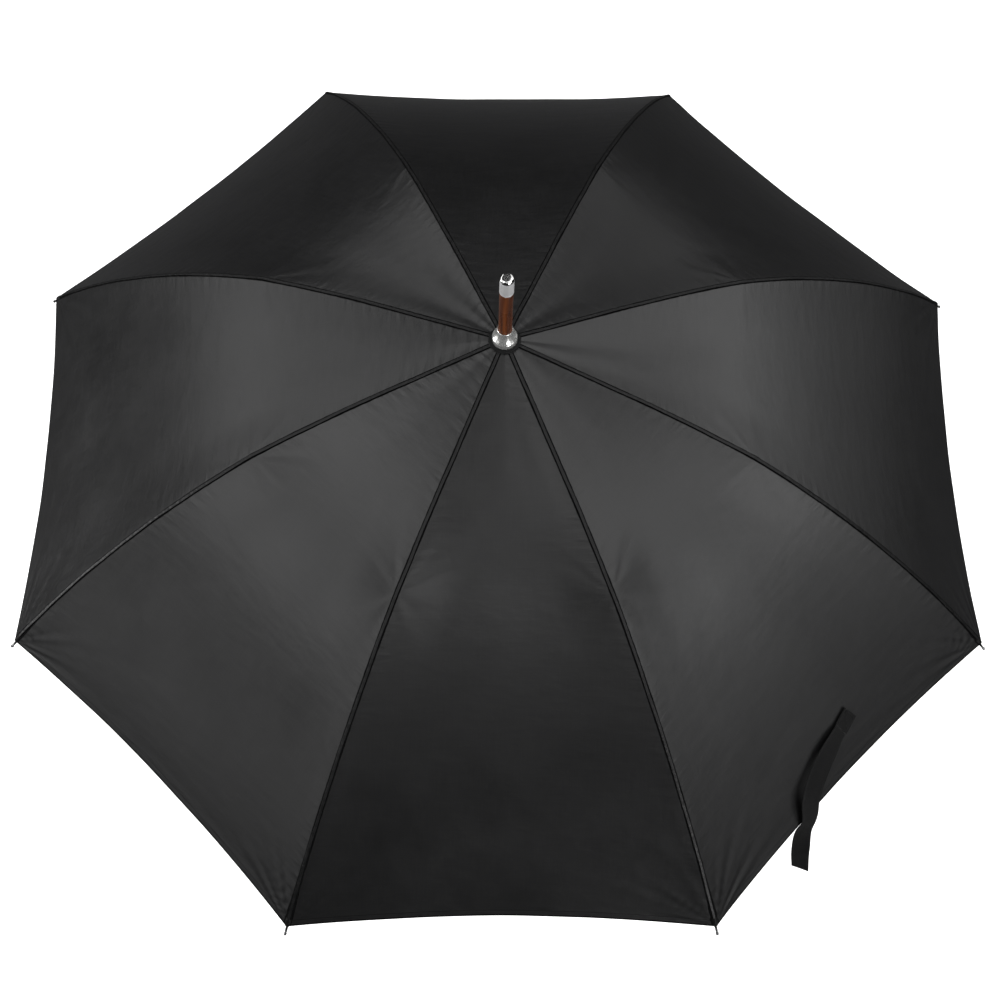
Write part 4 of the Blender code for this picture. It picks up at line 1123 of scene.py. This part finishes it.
def build_handle():
    """The crook: (x, z, dx, dz, radius) stations down the grip, round the bend and up to its end."""
    top = CROOK_START + 0.022
    shoulder = top - NOSE_LENGTH
    stations = [(0.0, GRIP_TOP - drop, 0.0, -1.0, radius) for drop, radius in GRIP_LIP]
    drops, radii = zip(*((-height, radius) for height, radius in GRIP_RADII))
    for h in np.linspace(GRIP_TOP - 0.004, CROOK_START, 26):
        stations.append((0.0, h, 0.0, -1.0, np.interp(-h, drops, radii)))
    for turn in np.linspace(0, pi, 57)[1:]:
        c, s = cos(turn), sin(turn)
        stations.append((CROOK_RADIUS * (1 - c), CROOK_START - CROOK_RADIUS * s, s, -c, CROOK_SECTION))
    for h in np.linspace(CROOK_START + 0.002, shoulder, 5):
        radius = np.interp(h, [CROOK_START, shoulder], [CROOK_SECTION, NOSE_RADIUS])
        stations.append((2 * CROOK_RADIUS, h, 0.0, 1.0, radius))
    for turn in np.radians(NOSE_TURNS):
        height = shoulder + NOSE_LENGTH * sin(turn)
        stations.append((2 * CROOK_RADIUS, height, 0.0, 1.0, NOSE_RADIUS * cos(turn) ** 0.85))
    turns = turns_round(56)[:, None]
    rings = []
    for x, z, dx, dz, radius in stations:
        around = np.cos(turns) * np.array([-dz, 0.0, dx]) + np.sin(turns) * np.array([0.0, 1.0, 0.0])
        rings.append(np.array([x, 0.0, z]) + radius * around)
    mesh = closed_tube("handle_crook", np.array(rings))
    hard("handle_crook", mesh, CROOK_WOOD, "crook_handle")
    mesh = turned("grip_collar", rounded(raised(GRIP_COLLAR, GRIP_TOP + COLLAR_GAP)), 40)
    hard("grip_collar", mesh, CHROME, "handle_collar")


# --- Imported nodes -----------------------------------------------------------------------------

NODE_LOOKS = {
    "shaft": WOOD, "crown_notch": PLASTIC, "runner": PLASTIC, "notch_wire": STEEL, "runner_wire": STEEL,
    "stop_pin": STEEL, "top_catch": STEEL, "bottom_catch": STEEL, "rib_tip": STEEL, "inner_rib": BLACK_STEEL,
    "stretcher": BLACK_STEEL, "outer_rod": ROD,
}


def sharp_shading():
    """A modifier that rounds a faceted node's shading and keeps its real corners sharp."""
    group = bpy.data.node_groups.new("sharp_shading", "GeometryNodeTree")
    group.interface.new_socket("Geometry", in_out="INPUT", socket_type="NodeSocketGeometry")
    group.interface.new_socket("Geometry", in_out="OUTPUT", socket_type="NodeSocketGeometry")
    add, join = group.nodes.new, group.links.new
    begin, end = add("NodeGroupInput"), add("NodeGroupOutput")
    merge, drop = add("GeometryNodeMergeByDistance"), add("GeometryNodeRemoveAttribute")
    merge.inputs["Distance"].default_value = 1e-6
    drop.inputs["Name"].default_value = "custom_normal"
    faces, edges = add("GeometryNodeSetShadeSmooth"), add("GeometryNodeSetShadeSmooth")
    faces.domain, edges.domain = "FACE", "EDGE"
    angle, over = add("GeometryNodeInputMeshEdgeAngle"), add("FunctionNodeCompare")
    over.data_type, over.operation = "FLOAT", "GREATER_THAN"
    over.inputs[1].default_value = radians(32)
    edges.inputs["Shade Smooth"].default_value = False
    for before, after in ((begin, merge), (merge, drop), (drop, faces), (faces, edges)):
        join(before.outputs[0], after.inputs["Geometry"])
    join(angle.outputs["Unsigned Angle"], over.inputs[0])
    join(over.outputs[0], edges.inputs["Selection"])
    join(edges.outputs["Geometry"], end.inputs[0])
    return group


def dress_nodes():
    shading = sharp_shading()
    for name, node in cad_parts.items():
        if node.hide_render:
            continue
        for slot in node.material_slots:
            slot.link = "OBJECT"
            slot.material = NODE_LOOKS.get(name.rstrip("_12345678"))
        node.modifiers.new("shading", "NODES").node_group = shading


# --- Build ------------------------------------------------------------------------------------


def declare_gores(sheets):
    """Works out each gore sheet's hem width, length and area, and notes the first sheet on each rib or rod; none
    of it is kept.
    """
    taken = set()
    for piece, points, k, outer in sheets:
        hem_row = -1 - len(HEM_TURNS + HEM_BACKS) if outer else -1
        width = float(np.linalg.norm(np.diff(points[hem_row], axis=0), axis=1).sum())
        length = float(np.linalg.norm(np.diff(points[:, 0], axis=0), axis=1).sum())
        if (k, outer) not in taken:
            taken.add((k, outer))
        area = min(area_of(points), width * length)


def build_canopy():
    ribs = range(1, RIBS + 1)
    sheets = [sheet for index in ribs for sheet in build_gore(index)]
    seams = {k: seam_strip(k) for k in ribs}
    tabs = {k: corner_tab(k) for k in ribs}
    pads = {k: joiner_pad(k) for k in ribs}
    for k in ribs:
        thread_tie(k, 0.22, "rib", 0.0022, 0.0060)
        thread_tie(k, 0.74, "rod", 0.0019, 0.0056)
    declare_gores(sheets)
    rosette("top_rosette", "canopy_rosette", 0.0010, 0.0158, 26)
    rosette("under_rosette", "inner_rosette", -0.0016, 0.0160, 30)


FLOOR_HALF = 7.0
FLOOR_GAP = 0.002
RIG_CENTRE = Vector((0.0, 0.0, 0.5))
RIG_DISTANCE = 3.2
SOFTBOX = 1.3
# Softboxes round the umbrella: (azimuth, elevation, watts)
SOFTBOXES = (
    (30, 5, 2.3), (180, 5, 52.1), (210, 5, 3.6), (300, 5, 41.2), (330, 5, 2.2),
    (30, 25, 6.8), (60, 25, 3.5), (150, 25, 8.4), (330, 25, 5.6),
    (30, 42, 11.3), (120, 42, 10.4), (150, 42, 6.2), (210, 42, 14.4), (270, 42, 2.3), (330, 42, 15.8),
    (0, 60, 10.8), (60, 60, 11.4), (180, 60, 8.1), (300, 60, 10.7), (180, 76, 12.3),
)


def softbox(azimuth, elevation, watts):
    turn, rise = radians(azimuth), radians(elevation)
    way = Vector((cos(turn) * cos(rise), sin(turn) * cos(rise), sin(rise)))
    lamp = bpy.data.lights.new(f"softbox_{azimuth}_{elevation}", "AREA")
    lamp.shape = "SQUARE"
    lamp.size = SOFTBOX
    lamp.energy = watts
    holder = bpy.data.objects.new(lamp.name, lamp)
    bpy.context.scene.collection.objects.link(holder)
    holder.location = RIG_CENTRE + way * RIG_DISTANCE
    holder.rotation_euler = (-way).to_track_quat("-Z", "Y").to_euler()
    holder.visible_camera = False


def build_floor():
    side, z = FLOOR_HALF, CAD_BOX[0].z - FLOOR_GAP
    mesh = bpy.data.meshes.new("floor")
    corners = [(-side, -side, z), (side, -side, z), (side, side, z), (-side, side, z)]
    mesh.from_pydata(corners, [], [(0, 1, 2, 3)])
    look = Look("pale_floor")
    look.out((0.9, 0.9, 0.9), 0.9, Emission_Color=(1.0, 1.0, 1.0), Emission_Strength=0.95)
    floor = link("floor", mesh, look.material)
    floor.visible_glossy = False
    floor.visible_diffuse = False


def build_stage():
    """Floor, softboxes and a world that is white to the camera and nearly black to the piece."""
    build_floor()
    for row in SOFTBOXES:
        softbox(*row)
    scene = bpy.context.scene
    scene.world = bpy.data.worlds.new("studio")
    scene.world.use_nodes = True
    tree = scene.world.node_tree
    path = tree.nodes.new("ShaderNodeLightPath")
    mix = tree.nodes.new("ShaderNodeMix")
    mix.data_type = "RGBA"
    tree.links.new(path.outputs["Is Camera Ray"], mix.inputs[0])
    mix.inputs[6].default_value = (0.02, 0.02, 0.02, 1.0)
    mix.inputs[7].default_value = (1.0, 1.0, 1.0, 1.0)
    tree.links.new(mix.outputs[2], tree.nodes["Background"].inputs["Color"])
    scene.view_settings.view_transform = "Standard"
    scene.view_settings.look = "None"


# Camera: looks down on the canopy from a standing photographer's height.
FRAME_SIDE = 1000
FOCAL = 1784.1  # in units of the frame's thousandth
DISTANCE = 1.6731  # from the apex, along the view
ELEVATION = radians(64.22)
ROLL = radians(2.392)
HEADING = radians(-2.394)
APEX_OFF = (4.72, 161.02)  # right and up of the frame's middle, in thousandths


def build_camera():
    back = Vector((0.0, -cos(ELEVATION), sin(ELEVATION)))
    right = Vector((1.0, 0.0, 0.0))
    up = back.cross(right)
    rolled_right = right * cos(ROLL) + up * sin(ROLL)
    rolled_up = up * cos(ROLL) - right * sin(ROLL)
    offset = (rolled_right * APEX_OFF[0] + rolled_up * APEX_OFF[1]) * (-DISTANCE / FOCAL)
    around = Matrix.Rotation(HEADING, 3, "Z")
    place = around @ (offset + back * DISTANCE) + Vector((0.0, 0.0, Z_APEX))
    axes = Matrix((around @ rolled_right, around @ rolled_up, around @ back)).transposed()
    data = bpy.data.cameras.new("camera")
    data.sensor_width = 36.0
    data.lens = FOCAL / FRAME_SIDE * data.sensor_width
    data.clip_start = 0.05
    data.clip_end = 50.0
    camera = bpy.data.objects.new("camera", data)
    bpy.context.scene.collection.objects.link(camera)
    camera.matrix_world = Matrix.Translation(place) @ axes.to_4x4()
    bpy.context.scene.camera = camera


build_camera()
build_stage()
build_canopy()
build_strap()
build_ferrule()
build_handle()
dress_nodes()
